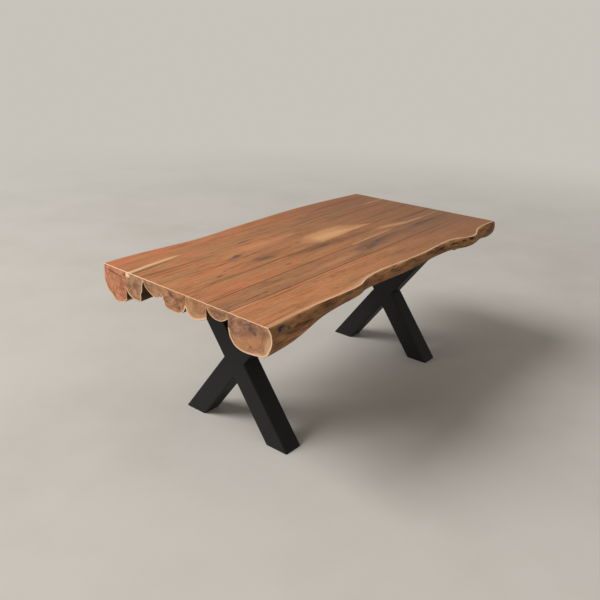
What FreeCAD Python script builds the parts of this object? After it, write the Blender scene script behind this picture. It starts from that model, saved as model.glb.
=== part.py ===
import FreeCAD, Part
import math
import os
from dataclasses import dataclass
from FreeCAD import Vector

# Live edge dining table: seven half logs edge-jointed into one top, on two welded X frames
# of square steel tube.  Millimetres.  X runs along the table, Y from the front (-Y) to the
# back (+Y), Z up from the floor.  "Left" is -X and "right" is +X.

# ---------------------------------------------------------------- the top as a whole
TOP_LENGTH = 2000.0
TOP_HEIGHT = 780.0            # floor to the planed face
TOP_OFFSET_LEFT = -7.5        # middle of the top from the middle of the frames, left end
TOP_OFFSET_RIGHT = 49.0       # the same at the right end: the logs taper
END_SKEW_LEFT = 34.0          # the left end is sawn askew: mm along X for each metre of width
END_ARRIS = 3.0               # chamfer along the top edge of both sawn ends

# ---------------------------------------------------------------- the half logs


@dataclass
class Station:
    """What a log measures at one place along it.

    `place` is 0 at the left end and 1 at the right end, and `depth` is below the planed face.
    `wave` is how far the live edge stands out of its straight line, `belly` how far the round
    below stands out past the live edge, and `fullness` how square the round is on its live
    side: 2 is an ellipse.  A log that is sawn on both sides uses place and depth only.
    """
    place: float
    depth: float
    wave: float = 0.0
    belly: float = 6.0
    fullness: float = 2.0


@dataclass
class HalfLog:
    """A log planed flat on top and sawn straight where it meets its neighbours.

    The sawn widths are those of the planed face at the left and the right end.  The log is
    widest at `belt` times the depth below the planed face.  `sawn_off` is how much of the round
    the saw takes off a seam at the planed face, and `lean` is how far the lowest line of an
    inner log lies behind the middle of its board.
    """
    node: str
    width_left: float
    width_right: float
    belt: float
    sawn_off: float
    lean: float
    run: list


BACK_LOG = HalfLog("board_1_back", 160.0, 110.0, 0.25, 36.0, 0.0, [
    Station(0.0, 158.0), Station(0.074, 144.0, 3.0), Station(0.194, 122.0, -11.0),
    Station(0.294, 108.0, -18.0), Station(0.414, 110.0, 2.0), Station(0.544, 116.0, 19.0),
    Station(0.694, 118.0, 32.0), Station(0.844, 112.0, 23.0), Station(1.0, 116.0)])
INNER_LOGS = [
    HalfLog("board_2", 123.0, 100.0, 0.2, 28.0, -9.0, [
        Station(0.0, 116.0), Station(0.25, 101.0), Station(0.5, 90.0), Station(0.75, 91.0),
        Station(1.0, 95.0)]),
    HalfLog("board_3", 122.0, 126.0, 0.1, 2.0, -14.0, [
        Station(0.0, 62.0), Station(0.25, 70.0), Station(0.5, 72.0), Station(0.75, 70.0),
        Station(1.0, 62.0)]),
    HalfLog("board_4", 146.0, 130.0, 0.2, 10.0, -3.0, [
        Station(0.0, 95.0), Station(0.25, 98.0), Station(0.5, 94.0), Station(0.75, 89.0),
        Station(1.0, 92.0)]),
    HalfLog("board_5", 125.0, 154.0, 0.2, 20.0, 8.0, [
        Station(0.0, 91.0), Station(0.25, 84.0), Station(0.5, 91.0), Station(0.75, 97.0),
        Station(1.0, 94.0)]),
    HalfLog("board_6", 120.0, 151.0, 0.1, 2.0, -2.0, [
        Station(0.0, 54.0), Station(0.25, 69.0), Station(0.5, 72.0), Station(0.75, 74.0),
        Station(1.0, 76.0)]),
]
FRONT_LOG = HalfLog("board_7_front", 205.0, 195.0, 0.27, 9.0, 0.0, [
    Station(0.0, 138.0, 0.0, 25.0, 3.3), Station(0.064, 117.0, -5.0, 30.0, 2.8),
    Station(0.134, 98.0, -5.0, 22.0, 2.4), Station(0.214, 83.0, 4.0, 8.0, 2.2),
    Station(0.274, 78.0, 7.0, 6.0, 2.2), Station(0.294, 78.0, 3.0, 7.0, 2.2),
    Station(0.324, 79.0, -16.0, 10.0, 2.2), Station(0.354, 80.0, -28.0, 15.0, 2.2),
    Station(0.494, 82.0, -22.0, 26.0, 2.2), Station(0.604, 80.0, -13.0, 14.0, 2.2),
    Station(0.714, 79.0, -18.0, 24.0, 2.2), Station(0.754, 80.0, -5.0, 22.0, 2.2),
    Station(0.794, 82.0, 34.0, 8.0, 2.2), Station(0.824, 85.0, 43.0, 6.0, 2.2),
    Station(0.869, 91.0, 12.0, 22.0, 2.2), Station(0.909, 98.0, -7.0, 27.0, 2.2),
    Station(0.949, 106.0, -8.0, 22.0, 2.1), Station(1.0, 120.0, 0.0, 9.0)])
UPPER_STEPS = 3               # points of a log's outline above its widest line, each side
LOWER_STEPS = 8               # points of it below
LIP = 2.0                     # outline carried above the planed face, which is then sawn flat
LEAST_BELLY = 3.0

# ---------------------------------------------------------------- dowels in the seams
DOWEL_DIAMETER = 12.0
DOWEL_LENGTH = 80.0
DOWEL_DEPTH = 16.0            # dowel axis below the planed face
DOWEL_PITCH = 250.0
DOWEL_FIT = 0.1               # radial room for glue
DOWEL_END_ROOM = 2.0          # room for glue at the bottom of each hole

# ---------------------------------------------------------------- X frames
FRAME_SPREAD = 650.0          # outside of the tubes, at the floor and under the plate
OVERHANG_LEFT = 323.0         # end of the top to the outer face of the left frame
OVERHANG_RIGHT = 347.0        # the same at the right
TUBE_SIDE = 100.0
TUBE_WALL = 4.0
TUBE_CORNER = 6.0             # outside corner radius of the tube
FOOT_CLOSER = 6.0             # thickness of the plate let into the foot of a tube
PAD_THICKNESS = 3.0
PAD_INSET = 1.0               # pad outline inside the foot outline

# ---------------------------------------------------------------- plates let into the top
SEAT_DEPTH = 62.0             # planed face down to the flat seat cut for plates and channel
RAIL_SETBACK = 50.0           # ends of plates and channel inside the live edges
SEAT_CLEARANCE = 2.0          # seat beyond the plate or channel, all round
PLATE_WIDTH = 160.0
PLATE_THICKNESS = 8.0
PLATE_CORNER = 12.0

# ---------------------------------------------------------------- stiffening channel
CHANNEL_WIDTH = 50.0
CHANNEL_HEIGHT = 30.0
CHANNEL_WALL = 4.0
GROOVE_CLEARANCE = 0.5

# ---------------------------------------------------------------- lag screws and washers
SCREW_DIAMETER = 8.0
SCREW_BITE = 40.0             # length in the wood
SCREW_POINT = 8.0             # tapered tip, part of the bite
HEAD_FLATS = 13.0
HEAD_HEIGHT = 5.5
WASHER_DIAMETER = 20.0
WASHER_THICKNESS = 1.6
SCREW_HOLE = 9.0              # in plate and channel
SCREW_TO_TUBE = 16.0          # screw axis to the side of the tube
SCREW_TO_END = 16.0           # screw axis to the end of its plate, at least
PILOT_FIT = 0.05              # radial room round the thread in the wood

ALL_LOGS = [BACK_LOG] + INNER_LOGS + [FRONT_LOG]
HALF_LENGTH = TOP_LENGTH / 2
SEAT_LEVEL = TOP_HEIGHT - SEAT_DEPTH
PLATE_UNDERSIDE = SEAT_LEVEL - PLATE_THICKNESS
FRAMES = {"left": -HALF_LENGTH + OVERHANG_LEFT + TUBE_SIDE / 2,
          "right": HALF_LENGTH - OVERHANG_RIGHT - TUBE_SIDE / 2}
MARGIN = 50.0                 # how far cutting tools run past what they cut
DEEP = 400.0                  # height of tools that cut from below
X_AXIS = Vector(1, 0, 0)
Y_AXIS = Vector(0, 1, 0)
Z_AXIS = Vector(0, 0, 1)


def between(left, right, x):
    """Value at x of what runs straight from one end of the top to the other."""
    return left + (right - left) * (x + HALF_LENGTH) / TOP_LENGTH


def box(x0, x1, y0, y1, z0, z1):
    return Part.makeBox(x1 - x0, y1 - y0, z1 - z0, Vector(x0, y0, z0))


def upright_cylinder(diameter, x, y, z0, z1):
    return Part.makeCylinder(diameter / 2, z1 - z0, Vector(x, y, z0), Z_AXIS)


# ---------------------------------------------------------------- where the seams run
def seam_lines():
    """Y of every line across the top at its left and right end, from the back edge forward."""
    y_left = TOP_OFFSET_LEFT + sum(log.width_left for log in ALL_LOGS) / 2
    y_right = TOP_OFFSET_RIGHT + sum(log.width_right for log in ALL_LOGS) / 2
    lines = [(y_left, y_right)]
    for log in ALL_LOGS:
        y_left -= log.width_left
        y_right -= log.width_right
        lines.append((y_left, y_right))
    return lines


LINES = seam_lines()


def line_y(number, x):
    return between(LINES[number][0], LINES[number][1], x)


def wave_at(log, x):
    """Wave of a live edge at x, straight from one measured place to the next."""
    place = (x + HALF_LENGTH) / TOP_LENGTH
    for before, after in zip(log.run, log.run[1:]):
        if before.place <= place <= after.place:
            share = (place - before.place) / (after.place - before.place)
            return before.wave + (after.wave - before.wave) * share
    return 0.0


def board_span(number, x):
    """Front and back edge of a board's planed face at x."""
    back = line_y(number, x)
    front = line_y(number + 1, x)
    if ALL_LOGS[number] is BACK_LOG:
        back += wave_at(BACK_LOG, x)
    if ALL_LOGS[number] is FRONT_LOG:
        front -= wave_at(FRONT_LOG, x)
    return front, back


def rail_span(x):
    """Front and back end of a plate or channel that is let into the top at x."""
    front = board_span(len(ALL_LOGS) - 1, x)[0]
    back = board_span(0, x)[1]
    return front + RAIL_SETBACK, back - RAIL_SETBACK


# ---------------------------------------------------------------- half logs
def outline_side(reach, belly, belt_depth, low_height, fullness):
    """Half of a log's outline from above the planed face down to its lowest line.

    `reach` is from the log's middle to its edge at the planed face, `belly` how far its round
    stands out past that edge, `belt_depth` the depth of its widest line and `low_height` that
    line's height above the lowest one.  Gives (distance from the middle, height above the
    widest line) of each point.
    """
    wide = reach + belly
    high = belt_depth / math.sqrt(1 - (reach / wide) ** 2)
    first = math.asin(min(0.95, (belt_depth + LIP) / high))
    points = []
    for step in range(UPPER_STEPS):
        angle = first * (1 - step / UPPER_STEPS)
        points.append((wide * math.cos(angle), high * math.sin(angle)))
    for step in range(LOWER_STEPS + 1):
        angle = math.pi / 2 * step / LOWER_STEPS
        out = max(math.cos(angle), 0.0) ** (2 / fullness)
        down = math.sin(angle) ** (2 / fullness)
        points.append((wide * out, -low_height * down))
    return points


def log_section(number, x, station):
    """The log's round outline at x, as a closed wire."""
    log = ALL_LOGS[number]
    front, back = board_span(number, x)
    belt_depth = log.belt * station.depth
    low_height = station.depth - belt_depth
    narrowing = math.sqrt(1 - (belt_depth / low_height) ** 2)
    front_corner = front - log.sawn_off - abs(log.lean)
    back_corner = back + log.sawn_off + abs(log.lean)
    if log is BACK_LOG:
        front_corner, back_corner = front - log.sawn_off, back
    if log is FRONT_LOG:
        front_corner, back_corner = front, back + log.sawn_off
    middle = (front_corner + back_corner) / 2
    if log in INNER_LOGS:
        middle = (front + back) / 2 + log.lean
    reach = (back_corner - front_corner) / 2
    sawn_belly = reach / narrowing - reach
    bellies = {"front": sawn_belly, "back": sawn_belly}
    fullness = {"front": 2.0, "back": 2.0}
    live = {BACK_LOG.node: "back", FRONT_LOG.node: "front"}.get(log.node)
    if live:
        bellies[live] = max(station.belly, LEAST_BELLY)
        fullness[live] = station.fullness
    level = TOP_HEIGHT - belt_depth
    sides = {}
    for side, sign in (("front", -1), ("back", 1)):
        curve = outline_side(reach, bellies[side], belt_depth, low_height, fullness[side])
        sides[side] = [Vector(x, middle + sign * out, level + up) for out, up in curve]
    points = sides["front"] + sides["back"][-2::-1]
    last = len(points) - 1
    outline = Part.BSplineCurve()
    outline.interpolate(Points=points, Parameters=[step / last for step in range(last + 1)])
    return Part.Wire([outline.toShape(), Part.makeLine(points[-1], points[0])])


def round_log(number):
    """The whole log before sawing, carried straight on past both ends by one step of its run."""
    run = ALL_LOGS[number].run
    sections = []
    for station in run:
        x = station.place * TOP_LENGTH - HALF_LENGTH
        sections.append(log_section(number, x, station))
    first_step = (run[1].place - run[0].place) * TOP_LENGTH
    last_step = (run[-1].place - run[-2].place) * TOP_LENGTH
    before = sections[0].translated(Vector(-first_step, 0, 0))
    after = sections[-1].translated(Vector(last_step, 0, 0))
    return Part.makeLoft([before] + sections + [after], True, False)


def left_end_x(y):
    """X of the left end at y: it is sawn askew."""
    return -HALF_LENGTH + END_SKEW_LEFT / 1000 * y


def sawn_block(number):
    """What the saw and the plane leave: straight seams, sawn ends, a flat top."""
    back_reach = DEEP if ALL_LOGS[number] is BACK_LOG else 0.0
    front_reach = DEEP if ALL_LOGS[number] is FRONT_LOG else 0.0
    corners = []
    for line, reach in ((number + 1, -front_reach), (number, back_reach)):
        left_x = left_end_x(LINES[line][0] + reach)
        left = Vector(left_x, line_y(line, left_x) + reach, TOP_HEIGHT - DEEP)
        right = Vector(HALF_LENGTH, LINES[line][1] + reach, TOP_HEIGHT - DEEP)
        corners += [left, right] if line > number else [right, left]
    outline = Part.makePolygon(corners + corners[:1])
    return Part.Face(outline).extrude(Vector(0, 0, DEEP))


def end_arris(side):
    """Cutter for the chamfer along the top edge of one end; side is -1 or 1."""
    reach = END_ARRIS + MARGIN
    corners = [Vector(side * (HALF_LENGTH - END_ARRIS), -TOP_LENGTH, TOP_HEIGHT),
               Vector(side * (HALF_LENGTH + MARGIN), -TOP_LENGTH, TOP_HEIGHT),
               Vector(side * (HALF_LENGTH + MARGIN), -TOP_LENGTH, TOP_HEIGHT - reach)]
    outline = Part.makePolygon(corners + corners[:1])
    cutter = Part.Face(outline).extrude(Vector(0, 2 * TOP_LENGTH, 0))
    if side < 0:
        turn = -math.degrees(math.atan(END_SKEW_LEFT / 1000))
        cutter.rotate(Vector(-HALF_LENGTH, 0, 0), Z_AXIS, turn)
    return cutter


# ---------------------------------------------------------------- seats cut in the underside
def plate_seat(x):
    """Stopped housing for a frame plate, open below so that the tubes come through."""
    front, back = rail_span(x)
    reach = PLATE_WIDTH / 2 + SEAT_CLEARANCE
    return box(x - reach, x + reach, front - SEAT_CLEARANCE, back + SEAT_CLEARANCE,
               SEAT_LEVEL - DEEP, SEAT_LEVEL)


def channel_seat():
    """Housing for the channel's web, and the two narrow grooves for its flanges."""
    front, back = rail_span(0)
    front -= SEAT_CLEARANCE
    back += SEAT_CLEARANCE
    reach = CHANNEL_WIDTH / 2 + SEAT_CLEARANCE
    seat = box(-reach, reach, front, back, SEAT_LEVEL - DEEP, SEAT_LEVEL)
    outer = CHANNEL_WIDTH / 2 + GROOVE_CLEARANCE
    inner = CHANNEL_WIDTH / 2 - CHANNEL_WALL - GROOVE_CLEARANCE
    groove_top = SEAT_LEVEL - CHANNEL_WALL + CHANNEL_HEIGHT + GROOVE_CLEARANCE
    low = SEAT_LEVEL - MARGIN
    grooves = [box(inner, outer, front, back, low, groove_top),
               box(-outer, -inner, front, back, low, groove_top)]
    return seat.multiFuse(grooves)


# ---------------------------------------------------------------- dowels
def dowel_places():
    """X of the dowels in every seam, evenly pitched about the middle."""
    count = int((TOP_LENGTH - DOWEL_PITCH / 2) / DOWEL_PITCH) + 1
    first = -(count - 1) * DOWEL_PITCH / 2
    return [first + i * DOWEL_PITCH for i in range(count)]


def seam_rods(seam, diameter, length):
    """Rods across one seam: the dowels, or the holes for them."""
    rods = []
    for x in dowel_places():
        start = Vector(x, line_y(seam, x) - length / 2, TOP_HEIGHT - DOWEL_DEPTH)
        rods.append(Part.makeCylinder(diameter / 2, length, start, Y_AXIS))
    return rods


def dowel_holes(seam):
    return seam_rods(seam, DOWEL_DIAMETER + 2 * DOWEL_FIT, DOWEL_LENGTH + 2 * DOWEL_END_ROOM)


# ---------------------------------------------------------------- screws
def screw_y(number, x):
    """Y of a screw at the middle of a board, held inside its plate or channel."""
    front, back = board_span(number, x)
    first, last = rail_span(x)
    middle = (front + back) / 2
    return min(max(middle, first + SCREW_TO_END), last - SCREW_TO_END)


def plate_screw_places(x):
    reach = TUBE_SIDE / 2 + SCREW_TO_TUBE
    places = []
    for number in range(len(ALL_LOGS)):
        for side in (-1, 1):
            places.append((x + side * reach, screw_y(number, x)))
    return places


def channel_screw_places():
    return [(0.0, screw_y(number, 0.0)) for number in range(len(ALL_LOGS))]


def lag_screw(x, y, underside):
    """Hex lag screw driven up; its head bears on a washer under a plate or web."""
    bearing = underside - WASHER_THICKNESS
    corner = HEAD_FLATS / math.sqrt(3)
    rim = []
    for step in range(7):
        angle = math.radians(60 * step)
        rim.append(Vector(x + corner * math.cos(angle), y + corner * math.sin(angle),
                          bearing - HEAD_HEIGHT))
    head = Part.Face(Part.makePolygon(rim)).extrude(Vector(0, 0, HEAD_HEIGHT))
    tip = SEAT_LEVEL + SCREW_BITE
    shank = upright_cylinder(SCREW_DIAMETER, x, y, bearing, tip - SCREW_POINT)
    point = Part.makeCone(SCREW_DIAMETER / 2, SCREW_DIAMETER / 8, SCREW_POINT,
                          Vector(x, y, tip - SCREW_POINT), Z_AXIS)
    return head.multiFuse([shank, point]).removeSplitter()


def washer(x, y, underside):
    low = underside - WASHER_THICKNESS
    disc = upright_cylinder(WASHER_DIAMETER, x, y, low, underside)
    return disc.cut(upright_cylinder(SCREW_HOLE, x, y, low - 1, underside + 1))


def pilot_hole(x, y):
    diameter = SCREW_DIAMETER + 2 * PILOT_FIT
    return upright_cylinder(diameter, x, y, SEAT_LEVEL - MARGIN, SEAT_LEVEL + SCREW_BITE)


# ---------------------------------------------------------------- boards
def board(number):
    """One finished half log with every seat, hole and arris cut."""
    blank = round_log(number).common(sawn_block(number))
    tools = [end_arris(-1), end_arris(1), channel_seat()]
    places = channel_screw_places()[number:number + 1]
    for x in FRAMES.values():
        tools.append(plate_seat(x))
        places += plate_screw_places(x)[2 * number:2 * number + 2]
    tools += [pilot_hole(px, py) for px, py in places]
    if number > 0:
        tools += dowel_holes(number)
    if number < len(ALL_LOGS) - 1:
        tools += dowel_holes(number + 1)
    return blank.cut(tools)


# ---------------------------------------------------------------- X frames
def tube_angle():
    """Lean of a tube from the floor that fits the spread, the height and the tube's side."""
    rise = PLATE_UNDERSIDE - PAD_THICKNESS
    return math.atan2(rise, FRAME_SPREAD) + math.asin(TUBE_SIDE / math.hypot(rise, FRAME_SPREAD))


def rounded_square(side, radius, length):
    """Square bar with rounded long edges along Z, centred on the origin."""
    bar = box(-side / 2, side / 2, -side / 2, side / 2, -length / 2, length / 2)
    upright = [edge for edge in bar.Edges if abs(edge.tangentAt(edge.FirstParameter).z) > 0.9]
    return bar.makeFillet(radius, upright)


def leaning_bar(x, direction, side, radius, low, high):
    """A bar that leans in the frame's plane, cut level at low and high.

    direction 1 leans to the back as it rises, -1 to the front.
    """
    length = 2 * (TOP_HEIGHT + FRAME_SPREAD)
    bar = rounded_square(side, radius, length)
    bar.rotate(Vector(0, 0, 0), X_AXIS, -direction * (90 - math.degrees(tube_angle())))
    bar.translate(Vector(x, 0, (PLATE_UNDERSIDE + PAD_THICKNESS) / 2))
    slab = box(x - side, x + side, -length, length, low, high)
    return bar.common(slab)


def tube(x, direction):
    outer = leaning_bar(x, direction, TUBE_SIDE, TUBE_CORNER, PAD_THICKNESS, PLATE_UNDERSIDE)
    return outer.cut(tube_core(x, direction, PAD_THICKNESS - MARGIN, PLATE_UNDERSIDE + MARGIN))


def tube_core(x, direction, low, high):
    """The hollow of a tube between two levels."""
    side = TUBE_SIDE - 2 * TUBE_WALL
    radius = max(TUBE_CORNER - TUBE_WALL, 0.2)
    return leaning_bar(x, direction, side, radius, low, high)


def half_tubes(x):
    """The tube that leans to the front, coped against the long one: lower half, upper half."""
    long_bar = leaning_bar(x, 1, TUBE_SIDE, TUBE_CORNER, PAD_THICKNESS, PLATE_UNDERSIDE)
    halves = tube(x, -1).cut(long_bar).Solids
    return sorted(halves, key=lambda solid: solid.CenterOfMass.z)


def foot_closer(x, direction):
    """Steel plate let flush into the foot of a tube."""
    return tube_core(x, direction, PAD_THICKNESS, PAD_THICKNESS + FOOT_CLOSER)


def foot_pad(x, direction):
    """Rubber pad under a foot, a little inside its outline."""
    angle = tube_angle()
    rise = PLATE_UNDERSIDE - PAD_THICKNESS
    middle = -direction * rise / (2 * math.tan(angle))
    half_x = TUBE_SIDE / 2 - PAD_INSET
    half_y = TUBE_SIDE / (2 * math.sin(angle)) - PAD_INSET
    pad = box(x - half_x, x + half_x, middle - half_y, middle + half_y, 0, PAD_THICKNESS)
    upright = [edge for edge in pad.Edges if abs(edge.tangentAt(edge.FirstParameter).z) > 0.9]
    return pad.makeFillet(TUBE_CORNER, upright)


def top_plate(x):
    """Steel plate welded on the tube tops, with a clear hole for every screw."""
    front, back = rail_span(x)
    half = PLATE_WIDTH / 2
    plate = box(x - half, x + half, front, back, PLATE_UNDERSIDE, SEAT_LEVEL)
    upright = [edge for edge in plate.Edges if abs(edge.tangentAt(edge.FirstParameter).z) > 0.9]
    plate = plate.makeFillet(PLATE_CORNER, upright)
    holes = []
    for px, py in plate_screw_places(x):
        holes.append(upright_cylinder(SCREW_HOLE, px, py, PLATE_UNDERSIDE - 1, SEAT_LEVEL + 1))
    return plate.cut(holes)


# ---------------------------------------------------------------- stiffening channel
def channel():
    """Steel channel across the middle, its flanges up in their grooves."""
    front, back = rail_span(0)
    half = CHANNEL_WIDTH / 2
    low = SEAT_LEVEL - CHANNEL_WALL
    outside = box(-half, half, front, back, low, low + CHANNEL_HEIGHT)
    hollow = box(-half + CHANNEL_WALL, half - CHANNEL_WALL, front - 1, back + 1,
                 SEAT_LEVEL, low + CHANNEL_HEIGHT + 1)
    holes = [upright_cylinder(SCREW_HOLE, px, py, low - 1, SEAT_LEVEL + 1)
             for px, py in channel_screw_places()]
    return outside.cut([hollow] + holes)


# ---------------------------------------------------------------- the whole table
def fixings(places, underside):
    """Screws and washers at the given places, each kind as one group."""
    screws = Part.makeCompound([lag_screw(px, py, underside) for px, py in places])
    washers = Part.makeCompound([washer(px, py, underside) for px, py in places])
    return screws, washers


def frame_parts(side, x):
    """Every piece of one X frame by node name."""
    lower_half, upper_half = half_tubes(x)
    screws, washers = fixings(plate_screw_places(x), PLATE_UNDERSIDE)
    parts = {
        side + "_long_tube": tube(x, 1),
        side + "_upper_half_tube": upper_half,
        side + "_lower_half_tube": lower_half,
        side + "_top_plate": top_plate(x),
        side + "_plate_screws": screws,
        side + "_plate_washers": washers,
    }
    for place, direction in (("front", 1), ("back", -1)):
        parts[side + "_" + place + "_foot_closer"] = foot_closer(x, direction)
        parts[side + "_" + place + "_foot_pad"] = foot_pad(x, direction)
    return parts


def table_parts():
    parts = {}
    for number, log in enumerate(ALL_LOGS):
        parts[log.node] = board(number)
    for seam in range(1, len(ALL_LOGS)):
        name = "seam_%d_%d_dowels" % (seam, seam + 1)
        parts[name] = Part.makeCompound(seam_rods(seam, DOWEL_DIAMETER, DOWEL_LENGTH))
    for side, x in FRAMES.items():
        parts.update(frame_parts(side, x))
    parts["middle_channel"] = channel()
    screws, washers = fixings(channel_screw_places(), SEAT_LEVEL - CHANNEL_WALL)
    parts["channel_screws"] = screws
    parts["channel_washers"] = washers
    return parts


def middle_of_outline(parts):
    """Middle of the whole table, seen from above, at the floor."""
    limits = [parts[log.node].optimalBoundingBox(False) for log in (BACK_LOG, FRONT_LOG)]
    x = (min(limit.XMin for limit in limits) + max(limit.XMax for limit in limits)) / 2
    y = (min(limit.YMin for limit in limits) + max(limit.YMax for limit in limits)) / 2
    return Vector(x, y, 0)


def main():
    os.makedirs("parts", exist_ok=True)
    parts = table_parts()
    middle = middle_of_outline(parts)
    for name, shape in parts.items():
        shape.translate(-middle)
        shape.exportStep("parts/" + name + ".step")
        print("%-26s %3d solid(s) %9.1f cm3" % (name, len(shape.Solids), shape.Volume / 1000))


main()
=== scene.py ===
"""Looks of the live edge dining table: seven half logs on two welded X frames of square tube.

Metres.  X runs along the table, Y from the front (-Y) to the back (+Y), Z up from the floor.
"Left" is -X and "right" is +X.
"""
import logging
import math
from dataclasses import dataclass
from enum import Enum
from typing import Dict, List, Optional, Sequence, Tuple, Union

import bpy
import numpy as np
from mathutils import Matrix, Vector, noise


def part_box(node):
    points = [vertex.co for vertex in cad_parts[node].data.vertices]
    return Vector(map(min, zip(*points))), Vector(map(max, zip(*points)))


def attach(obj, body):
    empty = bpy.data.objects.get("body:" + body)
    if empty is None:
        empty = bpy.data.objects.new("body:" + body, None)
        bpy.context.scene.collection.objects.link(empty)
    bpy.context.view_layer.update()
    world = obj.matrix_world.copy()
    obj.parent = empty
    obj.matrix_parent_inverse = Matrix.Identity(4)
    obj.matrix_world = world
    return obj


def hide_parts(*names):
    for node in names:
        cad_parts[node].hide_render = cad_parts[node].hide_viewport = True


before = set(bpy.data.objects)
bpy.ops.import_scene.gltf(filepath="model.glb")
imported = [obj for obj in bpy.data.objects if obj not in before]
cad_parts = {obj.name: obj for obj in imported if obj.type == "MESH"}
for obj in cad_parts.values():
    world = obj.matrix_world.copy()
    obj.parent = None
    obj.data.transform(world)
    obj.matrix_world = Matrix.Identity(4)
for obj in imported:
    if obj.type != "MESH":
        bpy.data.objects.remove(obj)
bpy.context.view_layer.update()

LOG = logging.getLogger("table")

Colour = Tuple[float, float, float, float]
Point = Tuple[float, float, float]
Pair = Tuple[float, float]
Stops = Sequence[Tuple[float, Colour]]
Quads = List[Tuple[int, ...]]
Array = np.ndarray
Material = bpy.types.Material
Thing = bpy.types.Object

MM = 0.001
TOP_SHIFT = 0.012                  # middle of the top, to the right of the frames' middle


def middle_of_frames() -> Vector:
    """Where the middle of the two X frames stands.

    Returns:
        The place on the floor.
    """
    boxes = [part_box(name) for name in ("left_long_tube", "right_long_tube")]
    along = sum(low.x + high.x for low, high in boxes) / 4
    low, high = boxes[0]
    return Vector((along, (low.y + high.y) / 2, 0.0))


FRAMES_MIDDLE = middle_of_frames()
TOP_MIDDLE = FRAMES_MIDDLE + Vector((TOP_SHIFT, 0.0, 0.0))


def tone(red: int, green: int, blue: int) -> Colour:
    """A colour as a painter's chart gives it, made linear for the shader.

    Args:
        red: Red, 0 to 255.
        green: Green, 0 to 255.
        blue: Blue, 0 to 255.

    Returns:
        Linear red, green and blue, and an alpha of 1.
    """
    shares = [value / 255 for value in (red, green, blue)]
    linear = [share / 12.92 if share <= 0.04045 else ((share + 0.055) / 1.055) ** 2.4
              for share in shares]
    return (*linear, 1.0)


# -------------------- shader expressions
class Signal:
    """A number, colour or vector on its way through a material's nodes."""

    def __init__(self, graph: "Graph", socket: bpy.types.NodeSocket) -> None:
        """Wraps an output socket.

        Args:
            graph: The material's graph.
            socket: The output socket that carries the value.
        """
        self.graph = graph
        self.socket = socket

    def _math(self, operation: str, *values: "Value") -> "Signal":
        """One Math node over this and other values, in the order given."""
        inputs = {place: value for place, value in enumerate(values)}
        return self.graph.node("Math", {"operation": operation}, inputs)

    def __add__(self, other: "Value") -> "Signal":
        """Sum."""
        return self._math("ADD", self, other)

    def __radd__(self, other: "Value") -> "Signal":
        """Sum with a number on the left."""
        return self._math("ADD", other, self)

    def __sub__(self, other: "Value") -> "Signal":
        """Difference."""
        return self._math("SUBTRACT", self, other)

    def __rsub__(self, other: "Value") -> "Signal":
        """Difference from a number on the left."""
        return self._math("SUBTRACT", other, self)

    def __mul__(self, other: "Value") -> "Signal":
        """Product."""
        return self._math("MULTIPLY", self, other)

    def __rmul__(self, other: "Value") -> "Signal":
        """Product with a number on the left."""
        return self._math("MULTIPLY", other, self)

    def __truediv__(self, other: "Value") -> "Signal":
        """Quotient."""
        return self._math("DIVIDE", self, other)

    def __rtruediv__(self, other: "Value") -> "Signal":
        """Quotient of a number on the left."""
        return self._math("DIVIDE", other, self)

    def size(self) -> "Signal":
        """Value without its sign."""
        return self._math("ABSOLUTE", self)

    def root(self) -> "Signal":
        """Square root."""
        return self._math("SQRT", self)

    def angle_to(self, other: "Value") -> "Signal":
        """Angle of the point (other, this)."""
        return self._math("ARCTAN2", self, other)

    def rise(self, low: float, high: float) -> "Signal":
        """Smooth step.

        Args:
            low: Value that gives 0.
            high: Value that gives 1; below low, the step falls instead.

        Returns:
            0 to 1.
        """
        settings = {"interpolation_type": "SMOOTHSTEP"}
        if low < high:
            return self.graph.node("MapRange", settings, {0: self, 1: low, 2: high})
        fall = {0: self, 1: high, 2: low, 3: 1.0, 4: 0.0}
        return self.graph.node("MapRange", settings, fall)


Value = Union[Signal, float, int, Sequence[float]]


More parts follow.
